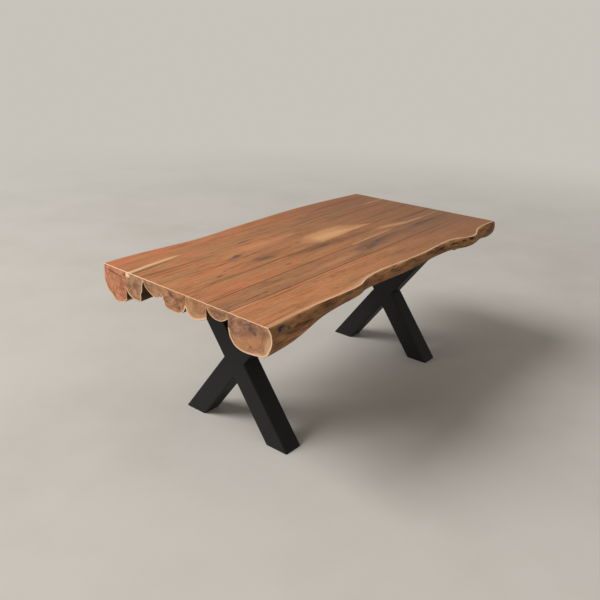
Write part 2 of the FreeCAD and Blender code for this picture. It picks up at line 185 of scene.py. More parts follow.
class Graph:
    """The node tree of one material."""

    def __init__(self, name: str) -> None:
        """Makes a material that is empty but for the node that tells the place.

        Args:
            name: The material's name.
        """
        self.material = bpy.data.materials.new(name)
        self.material.use_nodes = True
        self.tree = self.material.node_tree
        self.tree.nodes.clear()
        self.place = self.node("TexCoord", {}, {}, "Object")

    def node(self, kind: str, settings: Dict[str, object], inputs: Dict[Union[int, str], Value],
             output: Union[int, str] = 0) -> Signal:
        """Adds any node.

        Args:
            kind: The node's type, without the "ShaderNode" that all begin with.
            settings: Its properties, set first; "stops" gives a ramp's (place, colour) pairs.
            inputs: Values or links of its sockets, by name or number.
            output: Which output to hand back.

        Returns:
            The chosen output.
        """
        made = self.tree.nodes.new("ShaderNode" + kind)
        for key, value in settings.items():
            if key == "stops":
                self._set_stops(made, value)
            else:
                setattr(made, key, value)
        for key, value in inputs.items():
            if isinstance(value, Signal):
                self.tree.links.new(value.socket, made.inputs[key])
            else:
                made.inputs[key].default_value = value
        return Signal(self, made.outputs[output])

    @staticmethod
    def _set_stops(ramp: bpy.types.Node, stops: Stops) -> None:
        """Gives a ramp its colours.

        Args:
            ramp: The ramp's node.
            stops: (place, colour) pairs, in rising order.
        """
        elements = ramp.color_ramp.elements
        while len(elements) < len(stops):
            elements.new(0.5)
        for element, (place, colour) in zip(elements, stops):
            element.position = place
            element.color = colour

    def along(self, where: Signal, offset: Point, turn: float) -> Signal:
        """Coordinates seen from a moved and turned origin.

        Args:
            where: The coordinates to start from.
            offset: Where the new origin is.
            turn: How far the new X axis is turned about Z.

        Returns:
            The new coordinates.
        """
        inputs = {"Vector": where, "Location": offset, "Rotation": (0.0, 0.0, turn)}
        return self.node("Mapping", {"vector_type": "TEXTURE"}, inputs)

    def parts(self, where: Signal) -> Tuple[Signal, Signal, Signal]:
        """X, Y and Z of a vector, or red, green and blue of a colour."""
        node = self.node("SeparateXYZ", {}, {0: where}).socket.node
        return tuple(Signal(self, node.outputs[axis]) for axis in range(3))

    def cloud(self, where: Signal, stretch: Point, detail: float = 2.0, roughness: float = 0.5,
              shift: float = 0.0) -> Signal:
        """Smooth noise, with features about one unit of the stretched coordinates across.

        Args:
            where: The coordinates.
            stretch: What they are multiplied by along each axis.
            detail: How many finer layers it has.
            roughness: How strongly the finer layers show.
            shift: Moves on to a fresh part of the noise.

        Returns:
            The noise, 0 to 1.
        """
        moved = self.node("VectorMath", {"operation": "MULTIPLY_ADD"},
                          {0: where, 1: stretch, 2: (shift,) * 3})
        inputs = {"Vector": moved, "Scale": 1.0, "Detail": detail, "Roughness": roughness}
        return self.node("TexNoise", {"noise_dimensions": "3D"}, inputs)

    def length(self, where: Signal) -> Signal:
        """How long a vector is."""
        return self.node("VectorMath", {"operation": "LENGTH"}, {0: where}, "Value")

    def cloud_line(self, along: Signal, detail: float = 2.0, roughness: float = 0.5) -> Signal:
        """Smooth noise along one number, 0 to 1."""
        inputs = {"W": along, "Scale": 1.0, "Detail": detail, "Roughness": roughness}
        return self.node("TexNoise", {"noise_dimensions": "1D"}, inputs)

    def attribute(self, name: str) -> Signal:
        """A number stored on the mesh."""
        return self.node("Attribute", {"attribute_name": name}, {}, "Fac")

    def blend(self, first: Value, second: Value, factor: Value) -> Signal:
        """Mixes two colours.

        Args:
            first: Colour at factor 0.
            second: Colour at factor 1.
            factor: How much of the second.

        Returns:
            The mixed colour.
        """
        inputs = {0: factor, 6: first, 7: second}
        return self.node("Mix", {"data_type": "RGBA"}, inputs, 2)

    def ramp(self, value: Signal, stops: Stops) -> Signal:
        """Turns a number into a colour along a ramp."""
        return self.node("ValToRGB", {"stops": stops}, {0: value})

    def bump(self, height: Signal, distance: float, strength: float) -> Signal:
        """Normal of a surface with small relief; distance is the relief's depth in metres."""
        inputs = {"Height": height, "Distance": distance, "Strength": strength}
        return self.node("Bump", {}, inputs, "Normal")

    def finish(self, **sockets: Value) -> Material:
        """Adds the surface shader and hands the material back.

        Args:
            **sockets: The shader's inputs; an underscore stands for a space.

        Returns:
            The finished material.
        """
        inputs = {key.replace("_", " "): value for key, value in sockets.items()}
        shader = self.node("BsdfPrincipled", {}, inputs)
        out = self.tree.nodes.new("ShaderNodeOutputMaterial")
        self.tree.links.new(shader.socket, out.inputs["Surface"])
        return self.material


# -------------------- wood finishes
@dataclass(frozen=True)
class Mark:
    """A stain, knot, streak or patch of other wood: a soft spot with a ragged edge.

    `spot` is its middle and `reach` its half sizes, in metres; `shade` is its colour, `weight`
    how much of it shows, 0 to 1, `soft` how slowly its edge fades and `tilt` how far it is
    turned about X.
    """
    spot: Point
    reach: Point
    shade: Colour
    weight: float
    soft: float
    tilt: float = 0.0

    def paint(self, graph: Graph, colour: Signal, ragged: Signal) -> Signal:
        """Lays the mark over a colour.

        Args:
            graph: The material's graph.
            colour: What lies under the mark.
            ragged: Noise about 0 that frays the mark's edge.

        Returns:
            The colour with the mark.
        """
        settings = {"vector_type": "TEXTURE"}
        inputs = {"Vector": graph.place, "Location": self.spot,
                  "Rotation": (self.tilt, 0.0, 0.0), "Scale": self.reach}
        local = graph.node("Mapping", settings, inputs)
        inside = (graph.length(local) + ragged).rise(1.0 + self.soft / 2, 1.0 - self.soft)
        return graph.blend(colour, self.shade, inside * self.weight)


LEAST_HALF_WIDTH = 0.0002          # of a streak, so that it never divides by 0


@dataclass(frozen=True)
class Streak:
    """A band of other wood that follows the grain, wider here and narrower there.

    `path` lists (along, across, half width, weight) in millimetres from the middle of the
    frames, with the weight 0 to 1; `shade` is the band's colour, `soft` how slowly its edge
    fades and `fray` how ragged it is.
    """
    path: Tuple[Tuple[float, float, float, float], ...]
    shade: Colour
    soft: float
    fray: float

    def paint(self, graph: Graph, colour: Signal, ragged: Signal) -> Signal:
        """Lays the band over a colour.

        Args:
            graph: The material's graph.
            colour: What lies under the band.
            ragged: Noise about 0 that frays the band's edge.

        Returns:
            The colour with the band.
        """
        x, y, _ = graph.parts(graph.place)
        alongs, acrosses, halves, _ = zip(*self.path)
        first, long = alongs[0], alongs[-1] - alongs[0]
        low, broad = min(acrosses), max(halves)
        rise = max(max(acrosses) - low, 1.0)
        stops = [((along - first) / long, ((across - low) / rise, half / broad, weight, 1))
                 for along, across, half, weight in self.path]
        place = (x - (FRAMES_MIDDLE.x + first * MM)) * (1 / (long * MM))
        course = graph.parts(graph.ramp(place, stops))
        middle = course[0] * (rise * MM) + (FRAMES_MIDDLE.y + low * MM)
        half = course[1] * (broad * MM) + LEAST_HALF_WIDTH
        far = (y - middle).size() / half + ragged * self.fray
        inside = far.rise(1.0 + self.soft / 2, 1.0 - self.soft)
        return graph.blend(colour, self.shade, inside * course[2])


Figure = Union[Mark, Streak]


@dataclass(frozen=True)
class Grain:
    """How one log grew: where its pith runs and how its rings wander, in metres."""
    origin: Point                 # a point on the planed face that the coordinates start from
    turn: float                   # how far the board is turned about Z
    seed: float
    pith_side: float              # pith behind the board's middle line
    pith_depth: float             # pith below the planed face
    ring: float                   # broad ring width
    wander: float = 0.05          # how far the pith strays to the sides

    def local(self, graph: Graph) -> Signal:
        """Coordinates along and across the board."""
        return graph.along(graph.place, self.origin, self.turn)

    def from_pith(self, graph: Graph) -> Tuple[Signal, Signal, Signal]:
        """Where a point lies in the log.

        Args:
            graph: The material's graph.

        Returns:
            Distance from the pith with its small irregularities, and the wandering offsets
            across and up that the angle about the pith is taken from.
        """
        local = self.local(graph)
        _, across, up = graph.parts(local)
        stray = graph.cloud(local, (0.8, 2.0, 2.0), 1.0, shift=self.seed) - 0.5
        dive = graph.cloud(local, (1.3, 2.5, 2.5), 1.0, shift=self.seed + 5.0) - 0.5
        side = across - self.pith_side + stray * self.wander
        height = up + self.pith_depth + dive * self.wander
        small = graph.cloud(local, (3.0, 26.0, 26.0), 2.0, shift=self.seed + 9.0) - 0.5
        distance = (side * side + height * height).root() + small * self.ring * 0.9
        return distance, side, height


@dataclass(frozen=True)
class PlanedWood:
    """The planed and oiled face of one board."""
    name: str
    grain: Grain
    pale: Colour
    middle: Colour
    deep: Colour
    figures: Tuple[Figure, ...]
    rim: Colour
    olive: Colour = tone(170, 126, 80)
    pink: Colour = tone(210, 124, 82)
    # painted shade: the face is darkened towards the right end, where the light falls off
    far_painted_shade: Colour = tone(133, 95, 68)
    far_painted_shade_weight: float = 0.70
    rim_width: float = 0.0135
    # dark at the joints: partly dirt in the joint, partly painted shade of the groove
    seam: Colour = tone(108, 58, 30)

    def material(self) -> Material:
        """Builds the finish.

        Returns:
            The material.
        """
        graph = Graph(self.name)
        local = self.grain.local(graph)
        seed = self.grain.seed
        distance, _, _ = self.grain.from_pith(graph)
        rings = graph.cloud_line(distance / self.grain.ring + seed, 3.0, 0.62)
        broad = graph.cloud(local, (3.4, 16.0, 16.0), 4.0, 0.6, seed + 2.0)
        streak = graph.cloud(local, (6.0, 60.0, 60.0), 4.0, 0.62, seed + 3.0)
        fleck = graph.cloud(local, (26.0, 170.0, 170.0), 3.0, 0.62, seed + 6.0)
        fibre = graph.cloud(local, (22.0, 520.0, 520.0), 3.0, 0.65, seed)
        pores = graph.cloud(local, (60.0, 900.0, 900.0), 1.0, shift=seed).rise(0.6, 0.72)
        mixed = rings * 0.18 + broad * 0.27 + streak * 0.21 + fleck * 0.23 + fibre * 0.11
        colour = graph.ramp(mixed.rise(0.355, 0.65),
                            [(0.0, self.deep), (0.42, self.middle), (1.0, self.pale)])
        olive = graph.cloud(local, (3.0, 14.0, 14.0), 2.0, 0.5, seed + 31.0)
        colour = graph.blend(colour, self.olive, olive.rise(0.44, 0.68) * 0.5)
        pink = graph.cloud(local, (3.6, 15.0, 15.0), 2.0, 0.5, seed + 53.0)
        colour = graph.blend(colour, self.pink, pink.rise(0.45, 0.68) * 0.45)
        along = graph.parts(graph.place)[0]
        # painted shade: darker towards the right end, as where the light falls off
        colour = graph.blend(colour, self.far_painted_shade, along.rise(-0.7, 1.0) * self.far_painted_shade_weight)
        dark_line = graph.cloud(local, (4.0, 80.0, 80.0), 4.0, 0.6, seed + 7.0)
        colour = graph.blend(colour, self.deep, dark_line.rise(0.56, 0.70) * 0.40)
        frayed = graph.cloud(local, (12.0, 56.0, 56.0), 5.0, 0.7, seed + 4.0)
        ragged = (frayed - 0.5) * 1.9 + (streak - 0.5) * 0.6
        for figure in self.figures:
            colour = figure.paint(graph, colour, ragged)
        edge = graph.attribute("from_bark") + (frayed - 0.5) * 0.006 + (broad - 0.5) * 0.008
        rim = edge.rise(self.rim_width, self.rim_width * 0.6)
        colour = graph.blend(colour, self.rim, rim * 0.95)
        # darkens beside the joints: dirt in the joint, and painted shade of the groove
        seam = graph.attribute("seam").rise(0.1, 0.8)
        colour = graph.blend(colour, self.seam, seam * 0.85)
        colour = graph.blend(colour, self.deep, pores * 0.4)
        relief = fibre * 0.5 + rings * 0.25 - pores * 0.6
        return graph.finish(Base_Color=colour, Roughness=0.5 + streak * 0.14,
                            Normal=graph.bump(relief, 0.0004, 0.5))


@dataclass(frozen=True)
class EndGrain:
    """The sawn end of one log."""
    name: str
    grain: Grain
    pale: Colour
    middle: Colour
    deep: Colour
    marks: Tuple[Mark, ...]
    rim_width: float
    sap_width: float
    ring_weight: float
    rim: Colour = tone(236, 200, 162)
    sap: Colour = tone(188, 140, 98)
    check: Colour = tone(74, 44, 34)
    crust: Colour = tone(112, 78, 52)

    def material(self) -> Material:
        """Builds the finish.

        Returns:
            The material.
        """
        graph = Graph(self.name)
        seed = self.grain.seed
        distance, side, height = self.grain.from_pith(graph)
        place = graph.place
        sway = graph.cloud(place, (14.0, 18.0, 18.0), 3.0, 0.55, seed + 15.0) - 0.5
        swayed = distance + sway * 0.02
        rings = graph.cloud_line(swayed / (self.grain.ring * 0.4) + seed, 3.0, 0.7)
        blotch = graph.cloud(place, (22.0, 26.0, 30.0), 4.0, 0.62, seed + 1.0)
        speck = graph.cloud(place, (150.0, 150.0, 150.0), 4.0, 0.68, seed)
        sawn = graph.cloud(place, (220.0, 220.0, 1100.0), 2.0, 0.6, seed)
        plain = 1.0 - self.ring_weight
        mixed = rings * self.ring_weight + blotch * (plain * 0.58) + speck * (plain * 0.42)
        colour = graph.ramp(mixed.rise(0.36, 0.64),
                            [(0.0, self.deep), (0.5, self.middle), (1.0, self.pale)])
        bark = graph.attribute("from_bark") + (blotch - 0.5) * 0.008
        if self.sap_width:
            sap = bark.rise(self.sap_width, self.sap_width * 0.6)
            colour = graph.blend(colour, self.sap, sap * 0.8)
        ragged = (blotch - 0.5) * 1.2 + (speck - 0.5) * 0.5
        for mark in self.marks:
            colour = mark.paint(graph, colour, ragged)
        heart = (distance + (blotch - 0.5) * 0.03).rise(0.026, 0.004)
        colour = graph.blend(colour, self.deep, heart * 0.35)
        turning = side.angle_to(height)
        rays = graph.cloud_line(turning * 2.2 + seed) - 0.5
        ray = rays.size().rise(0.010, 0.002)
        check = ray * distance.rise(0.055, 0.02) * blotch.rise(0.40, 0.56)
        colour = graph.blend(colour, self.check, check * 0.7)
        rim = bark.rise(self.rim_width, self.rim_width * 0.4)
        colour = graph.blend(colour, self.rim, rim * 0.85)
        crust = (bark + (speck - 0.5) * 0.002).rise(0.0016, 0.0003)
        colour = graph.blend(colour, self.crust, crust * 0.6)
        relief = rings * 0.2 + sawn * 0.5 + speck * 0.3 - check * 1.5
        return graph.finish(Base_Color=colour, Roughness=0.6 + speck * 0.14,
                            Specular_IOR_Level=0.35,
                            Normal=graph.bump(relief, 0.0006, 0.5))


@dataclass(frozen=True)
class LiveSide:
    """The natural side and underside of a log with its bark off."""
    name: str
    grain: Grain
    tones: Tuple[Colour, Colour, Colour]             # pale, middle and deep
    figures: Tuple[Figure, ...]
    bare: Colour = tone(206, 156, 110)
    bare_width: float = 0.0035
    crack: Colour = tone(40, 26, 17)

    def material(self) -> Material:
        """Builds the finish.

        Returns:
            The material.
        """
        graph = Graph(self.name)
        pale, middle, deep = self.tones
        seed = self.grain.seed
        local = self.grain.local(graph)
        bend = graph.cloud(local, (9.0, 16.0, 16.0), 2.0, shift=seed + 6.0) - 0.5
        shifted = graph.node("VectorMath", {"operation": "ADD"},
                             {0: local, 1: self._lift(graph, bend * 0.02)})
        patch = graph.cloud(shifted, (9.0, 34.0, 34.0), 4.0, 0.62, seed)
        strip = graph.cloud(shifted, (14.0, 150.0, 150.0), 4.0, 0.65, seed + 3.0)
        grit = graph.cloud(local, (160.0, 620.0, 620.0), 3.0, 0.6, seed)
        mixed = patch * 0.36 + strip * 0.46 + grit * 0.18
        colour = graph.ramp(mixed.rise(0.34, 0.68),
                            [(0.0, deep), (0.4, middle), (1.0, pale)])
        warm = graph.cloud(local, (9.0, 34.0, 34.0), 2.0, shift=seed + 8.0)
        colour = graph.blend(colour, pale, warm.rise(0.5, 0.68) * 0.35)
        ragged = (strip - 0.5) * 1.3
        for figure in self.figures:
            colour = figure.paint(graph, colour, ragged)
        height = graph.parts(graph.place)[2] + (patch - 0.5) * 0.010
        bare = height.rise(TOP_HEIGHT - self.bare_width, TOP_HEIGHT - 0.001)
        colour = graph.blend(colour, self.bare, bare * 0.8)
        line = graph.cloud(shifted, (15.0, 150.0, 150.0), 3.0, 0.6, seed + 12.0)
        cracks = (line - 0.5).size().rise(0.016, 0.003) * patch.rise(0.58, 0.42)
        colour = graph.blend(colour, self.crack, cracks * (1 - bare) * 0.7)
        relief = strip * 0.6 + patch * 0.5 + grit * 0.2 - cracks * 0.6
        return graph.finish(Base_Color=colour, Roughness=0.68 + grit * 0.15,
                            Specular_IOR_Level=0.3, Normal=graph.bump(relief, 0.0013, 0.7))

    @staticmethod
    def _lift(graph: Graph, amount: Signal) -> Signal:
        """A vector that points back and up by an amount."""
        return graph.node("CombineXYZ", {}, {1: amount, 2: amount})


@dataclass(frozen=True)
class EasedEdgeHighlight:
    """The sanded arris along a sawn end, painted paler than the wood beside it as a highlight."""
    name: str = "eased_end_edge_painted_highlight"
    # painted highlight: pale tones where the eased edge catches the light
    pale: Colour = tone(238, 192, 146)
    deep: Colour = tone(212, 158, 114)
    back: Colour = tone(255, 218, 180)

    def material(self) -> Material:
        """Builds the finish.

        Returns:
            The material.
        """
        graph = Graph(self.name)
        fleck = graph.cloud(graph.place, (40.0, 60.0, 60.0), 3.0, 0.6)
        colour = graph.ramp(fleck.rise(0.3, 0.7), [(0.0, self.deep), (1.0, self.pale)])
        # painted highlight, brighter still towards the back
        back = graph.parts(graph.place)[1].rise(-0.05, 0.25)
        colour = graph.blend(colour, self.back, back * 0.8)
        return graph.finish(Base_Color=colour, Roughness=0.5 + fleck * 0.1,
                            Normal=graph.bump(fleck, 0.0004, 0.4))


@dataclass(frozen=True)
class SawnSide:
    """The rough sawn side of a log at a seam, and the seats cut in its underside."""
    name: str = "sawn_side_painted_shade"
    # dark tones: partly the rough sawn wood's own, partly painted shade of the gaps between the
    # boards
    pale: Colour = tone(104, 72, 48)
    deep: Colour = tone(50, 33, 22)

    def material(self) -> Material:
        """Builds the finish.

        Returns:
            The material.
        """
        graph = Graph(self.name)
        place = graph.place
        fibre = graph.cloud(place, (16.0, 300.0, 300.0), 3.0, 0.6)
        teeth = graph.cloud(place, (420.0, 30.0, 30.0), 2.0, 0.6)
        mixed = fibre * 0.7 + teeth * 0.3
        colour = graph.ramp(mixed.rise(0.34, 0.68), [(0.0, self.deep), (1.0, self.pale)])
        return graph.finish(Base_Color=colour, Roughness=0.7 + fibre * 0.12,
                            Specular_IOR_Level=0.3, Normal=graph.bump(mixed, 0.0006, 0.6))


# -------------------- metal, rubber and dowels
@dataclass(frozen=True)
class TwoTone:
    """A finish of two tones that a noise mixes, with its relief.

    `between` gives the noise's values at which the second tone begins and is full, `rough` the
    roughness and what the noise adds to it, and `relief` a pattern of its own as (stretch,
    detail).  `depth` is in metres.
    """
    name: str
    first: Colour
    second: Colour
    stretch: Point
    between: Pair
    rough: Pair
    depth: float
    strength: float
    share: float = 1.0
    detail: float = 3.0
    relief: Optional[Tuple[Point, float]] = None
    metallic: float = 0.0
    specular: float = 0.5

    def material(self) -> Material:
        """Builds the finish.

        Returns:
            The material.
        """
        graph = Graph(self.name)
        mottle = graph.cloud(graph.place, self.stretch, self.detail, 0.6)
        colour = graph.blend(self.first, self.second, mottle.rise(*self.between) * self.share)
        relief = graph.cloud(graph.place, *self.relief) if self.relief else mottle
        return graph.finish(Base_Color=colour, Metallic=self.metallic,
                            Roughness=self.rough[0] + mottle * self.rough[1],
                            Specular_IOR_Level=self.specular,
                            Normal=graph.bump(relief, self.depth, self.strength))


POWDER_COAT = TwoTone("black_powder_coat", tone(20, 20, 21), tone(28, 28, 28), (9.0, 9.0, 6.0),
                      (0.4, 0.75), (0.46, 0.12), 0.0003, 0.35, 0.6, 4.0,
                      ((620.0, 620.0, 620.0), 2.0), specular=0.32)
BRIGHT_ZINC = TwoTone("bright_zinc", tone(196, 198, 200), tone(150, 152, 150),
                      (180.0, 180.0, 180.0), (0.4, 0.7), (0.28, 0.2), 0.0001, 0.4,
                      relief=((300.0, 300.0, 2600.0), 1.0), metallic=1.0)
FOOT_RUBBER = TwoTone("foot_rubber", tone(30, 30, 30), tone(52, 51, 50), (260.0, 260.0, 260.0),
                      (0.45, 0.8), (0.78, 0.12), 0.0003, 0.5)
DOWEL_WOOD = TwoTone("dowel_wood", tone(188, 150, 104), tone(222, 190, 146),
                     (500.0, 22.0, 500.0), (0.3, 0.7), (0.55, 0.1), 0.0003, 0.4)


# -------------------- the logs' measures
class Edge(Enum):
    """Which edge of a board is live, if either."""
    NONE = "sawn both sides"
    BACK = "live at the back"
    FRONT = "live at the front"


class Curve:
    """A smooth line through measured places: a natural cubic."""

    def __init__(self, places: Sequence[float], values: Sequence[float]) -> None:
        """Works out the line.

        Args:
            places: Where it is measured, rising.
            values: What was measured there.
        """
        self.places = np.array(places, float)
        self.values = np.array(values, float)
        step = np.diff(self.places)
        count = len(self.places)
        grid = np.eye(count)
        right = np.zeros(count)
        slope = np.diff(self.values) / step
        for row in range(1, count - 1):
            left, here = step[row - 1], step[row]
            grid[row, row - 1:row + 2] = (left, 2 * (left + here), here)
            right[row] = 6 * (slope[row] - slope[row - 1])
        self.bend = np.linalg.solve(grid, right)

    def at(self, where: Array) -> Array:
        """Values of the line.

        Args:
            where: Places along it.

        Returns:
            The values there.
        """
        last = len(self.places) - 2
        span = np.clip(np.searchsorted(self.places, where) - 1, 0, last)
        step = self.places[span + 1] - self.places[span]
        after = (where - self.places[span]) / step
        before = 1 - after
        sag = (before ** 3 - before) * self.bend[span] + (after ** 3 - after) * self.bend[span + 1]
        return before * self.values[span] + after * self.values[span + 1] + sag * step ** 2 / 6


TOP_LENGTH = 2.0
TOP_HEIGHT = 0.78
TOP_OFFSETS = (-0.0075, 0.049)     # middle of the top from the middle of the frames, left, right
HALF_LENGTH = TOP_LENGTH / 2
END_SKEW = 0.034                   # along X for each metre of width, at the left end
SKEW_REACH = 0.25                  # how far from the left end the skew dies away
EASED_END = ((0.0, 0.0022), (0.0007, 0.0013), (0.0016, 0.0004), (0.0022, 0.0))   # in, down
PLAIN_FROM = 0.005                 # from the ends, where the even sections begin
SEAT_LEVEL = 0.718                 # roof of the plates' seats
SEAM_BAND = (0.0012, 0.0028)       # dark of dirt and painted shade beside a seam, and the width over which it fades
SEAM_BAND_DEPTH = 0.004            # how far down a seam the dark is stored
FAR_FROM_BARK = 0.1                # beyond this the distance from the bark isn't told


@dataclass(frozen=True)
class Station:
    """What a log measures at one place along it, in millimetres but for the place, 0 to 1."""
    place: float
    depth: float
    wave: float = 0.0                  # live edge outside its straight line
    belly: float = 6.0                 # round outside the live edge
    fullness: float = 2.0              # squareness of the live side: 2 is an ellipse


@dataclass(frozen=True)
class HalfLog:
    """Measures of one half log, in millimetres, as the solid has them."""
    node: str
    widths: Pair                       # planed face at the left and right end
    belt: float                        # depth of the widest line, as a share
    sawn_off: float
    lean: float
    run: Tuple[Tuple[float, ...], ...]      # fields of each `Station`, from the left
    left_end: Tuple[Pair, ...]         # round at the left end, back to front: across and up
    live: Edge = Edge.NONE


LOGS = (
    HalfLog("board_1_back", (160, 110), 0.25, 36, 0,
        ((0, 158), (0.074, 144, 3), (0.194, 122, -11), (0.294, 108, -18), (0.414, 110, 2),
         (0.544, 116, 19), (0.694, 118, 32), (0.844, 112, 23), (1, 116)),
        ((493, 780), (497, 760), (498, 737), (495, 703), (486, 679), (466, 656), (438, 640),
         (424, 627), (408, 623), (380, 624), (352, 634), (333, 650)), Edge.BACK),
    HalfLog("board_2", (123, 100), 0.2, 28, -9,
        ((0, 116), (0.25, 101), (0.5, 90), (0.75, 91), (1, 95)),
        ((333, 703), (326, 688), (306, 673), (281, 665), (260, 664), (236, 668), (228, 684),
         (229, 701), (222, 716), (217, 748), (210, 768))),
    HalfLog("board_3", (122, 126), 0.1, 2, -14,
        ((0, 62), (0.25, 70), (0.5, 72), (0.75, 70), (1, 62)),
        ((210, 768), (203, 749), (191, 738), (178, 730), (160, 722), (145, 717), (119, 718),
         (100, 727), (88, 742))),
    HalfLog("board_4", (146, 130), 0.2, 10, -3,
        ((0, 95), (0.25, 98), (0.5, 94), (0.75, 89), (1, 92)),
        ((88, 736), (84, 722), (78, 712), (74, 700), (62, 690), (31, 686), (-7, 686), (-28, 691),
         (-44, 702), (-55, 716), (-58, 732))),
    HalfLog("board_5", (125, 154), 0.2, 20, 8,
        ((0, 91), (0.25, 84), (0.5, 91), (0.75, 97), (1, 94)),
        ((-58, 728), (-66, 712), (-74, 700), (-86, 694), (-105, 690), (-141, 697), (-165, 704),
         (-183, 716))),
    HalfLog("board_6", (120, 151), 0.1, 2, -2,
        ((0, 54), (0.25, 69), (0.5, 72), (0.75, 74), (1, 76)),
        ((-183, 766), (-189, 753), (-197, 743), (-206, 737), (-234, 728), (-262, 729), (-284, 738),
         (-303, 752))),
    HalfLog("board_7_front", (205, 195), 0.27, 9, 0,
        ((0, 138, 0, 25, 3.3), (0.064, 117, -5, 30, 2.8), (0.134, 98, -5, 22, 2.4),
         (0.214, 83, 4, 8, 2.2), (0.274, 78, 7, 6, 2.2), (0.294, 78, 3, 7, 2.2),
         (0.324, 79, -16, 10, 2.2), (0.354, 80, -28, 15, 2.2), (0.494, 82, -22, 26, 2.2),
         (0.604, 80, -13, 14, 2.2), (0.714, 79, -18, 24, 2.2), (0.754, 80, -5, 22, 2.2),
         (0.794, 82, 34, 8, 2.2), (0.824, 85, 43, 6, 2.2), (0.869, 91, 12, 22, 2.2),
         (0.909, 98, -7, 27, 2.2), (0.949, 106, -8, 22, 2.1), (1, 120, 0, 9, 2)),
        ((-303, 712), (-306, 697), (-312, 682), (-321, 670), (-333, 659), (-348, 651), (-385, 644),
         (-421, 645), (-457, 651), (-492, 657), (-508, 669), (-521, 694), (-530, 720), (-531, 744),
         (-524, 764), (-508, 780)), Edge.FRONT),
)
# How dark each seam shows (dirt and painted shade), from the back: (along in millimetres, dark 0
# to 1).
SEAM_DIRT_AND_SHADE = (
    ((-1000, 0.12), (1000, 0.16)),
    ((-1000, 0.3), (-800, 0.75), (-500, 0.3), (0, 0.35), (400, 0.5), (1000, 0.35)),
    ((-1000, 0.15), (-720, 0.25), (-650, 0.8), (-420, 0.8), (-330, 0.25), (1000, 0.3)),
    ((-1000, 0.7), (-250, 0.85), (-100, 0.5), (500, 0.55), (1000, 0.35)),
    ((-1000, 0.95), (-150, 0.95), (50, 0.55), (450, 0.55), (1000, 0.45)),
    ((-1000, 0.85), (-700, 1.0), (550, 0.95), (800, 0.6), (1000, 0.5)),
)


def seam_line(number: int) -> Pair:
    """A line across the top between two boards.

    Args:
        number: Which line, counted from the back edge.

    Returns:
        Y of its left and of its right end, from the middle of the frames.
    """
    ends = []
    for side in range(2):
        widths = [log.widths[side] * MM for log in LOGS]
        ends.append(TOP_OFFSETS[side] + sum(widths) / 2 - sum(widths[:number]))
    return (ends[0], ends[1])


def run_length(points: Array) -> Array:
    """How far along a line each of its points lies."""
    return np.concatenate([[0.0], np.cumsum(np.hypot(*np.diff(points, axis=0).T))])


def half_noise(where: Vector) -> float:
    """Smooth noise, about 0 to 1."""
    return 0.5 + 0.5 * noise.noise(where)


def skew_share(x: Array) -> Array:
    """How much of the left end's skew is left at x, 1 at the end."""
    return np.clip(1 - (x + HALF_LENGTH) / SKEW_REACH, 0, 1)


class Face(Enum):
    """Faces of a board, each with the number of its material slot."""
    PLANED = 0
    END = 1
    ROUND = 2
    ARRIS = 3
    SAWN = 4


class Run(Enum):
    """Runs of a board's outline, from the front edge over the top and round below."""
    FRONT = "in from the front edge"
    ACROSS = "across the face"
    BACK = "in from the back edge"
    BACK_SEAM = "down the back seam"
    ROUND = "along the natural round"
    FRONT_SEAM = "up the front seam"


FLAT_RUNS = {Run.FRONT, Run.ACROSS, Run.BACK}
SEAM_RUNS = {Run.BACK_SEAM, Run.FRONT_SEAM}
EDGE_POINTS = (0.0022, 0.0040, 0.007, 0.012, 0.020)                 # in from a face's edge
ACROSS_POINTS = (0.3, 0.4, 0.5, 0.6, 0.7)                           # shares of the face
SEAM_POINTS = (0.1, 0.4, 0.7, 0.94)                                 # shares of a sawn side
CAP_RINGS = (0.985, 0.96, 0.93, 0.885, 0.82, 0.7, 0.5, 0.25)        # shares of the rim's size


def new_object(name: str, points: Array, faces: Sequence[Sequence[int]]) -> Thing:
    """Makes a mesh object in the scene.

    Args:
        name: Its name.
        points: One row for each vertex.
        faces: Vertex numbers of each face, anticlockwise from outside.

    Returns:
        The object.
    """
    mesh = bpy.data.meshes.new(name)
    mesh.from_pydata(points.tolist(), [], [tuple(face) for face in faces])
    mesh.update()
    made = bpy.data.objects.new(name, mesh)
    bpy.context.scene.collection.objects.link(made)
    return made


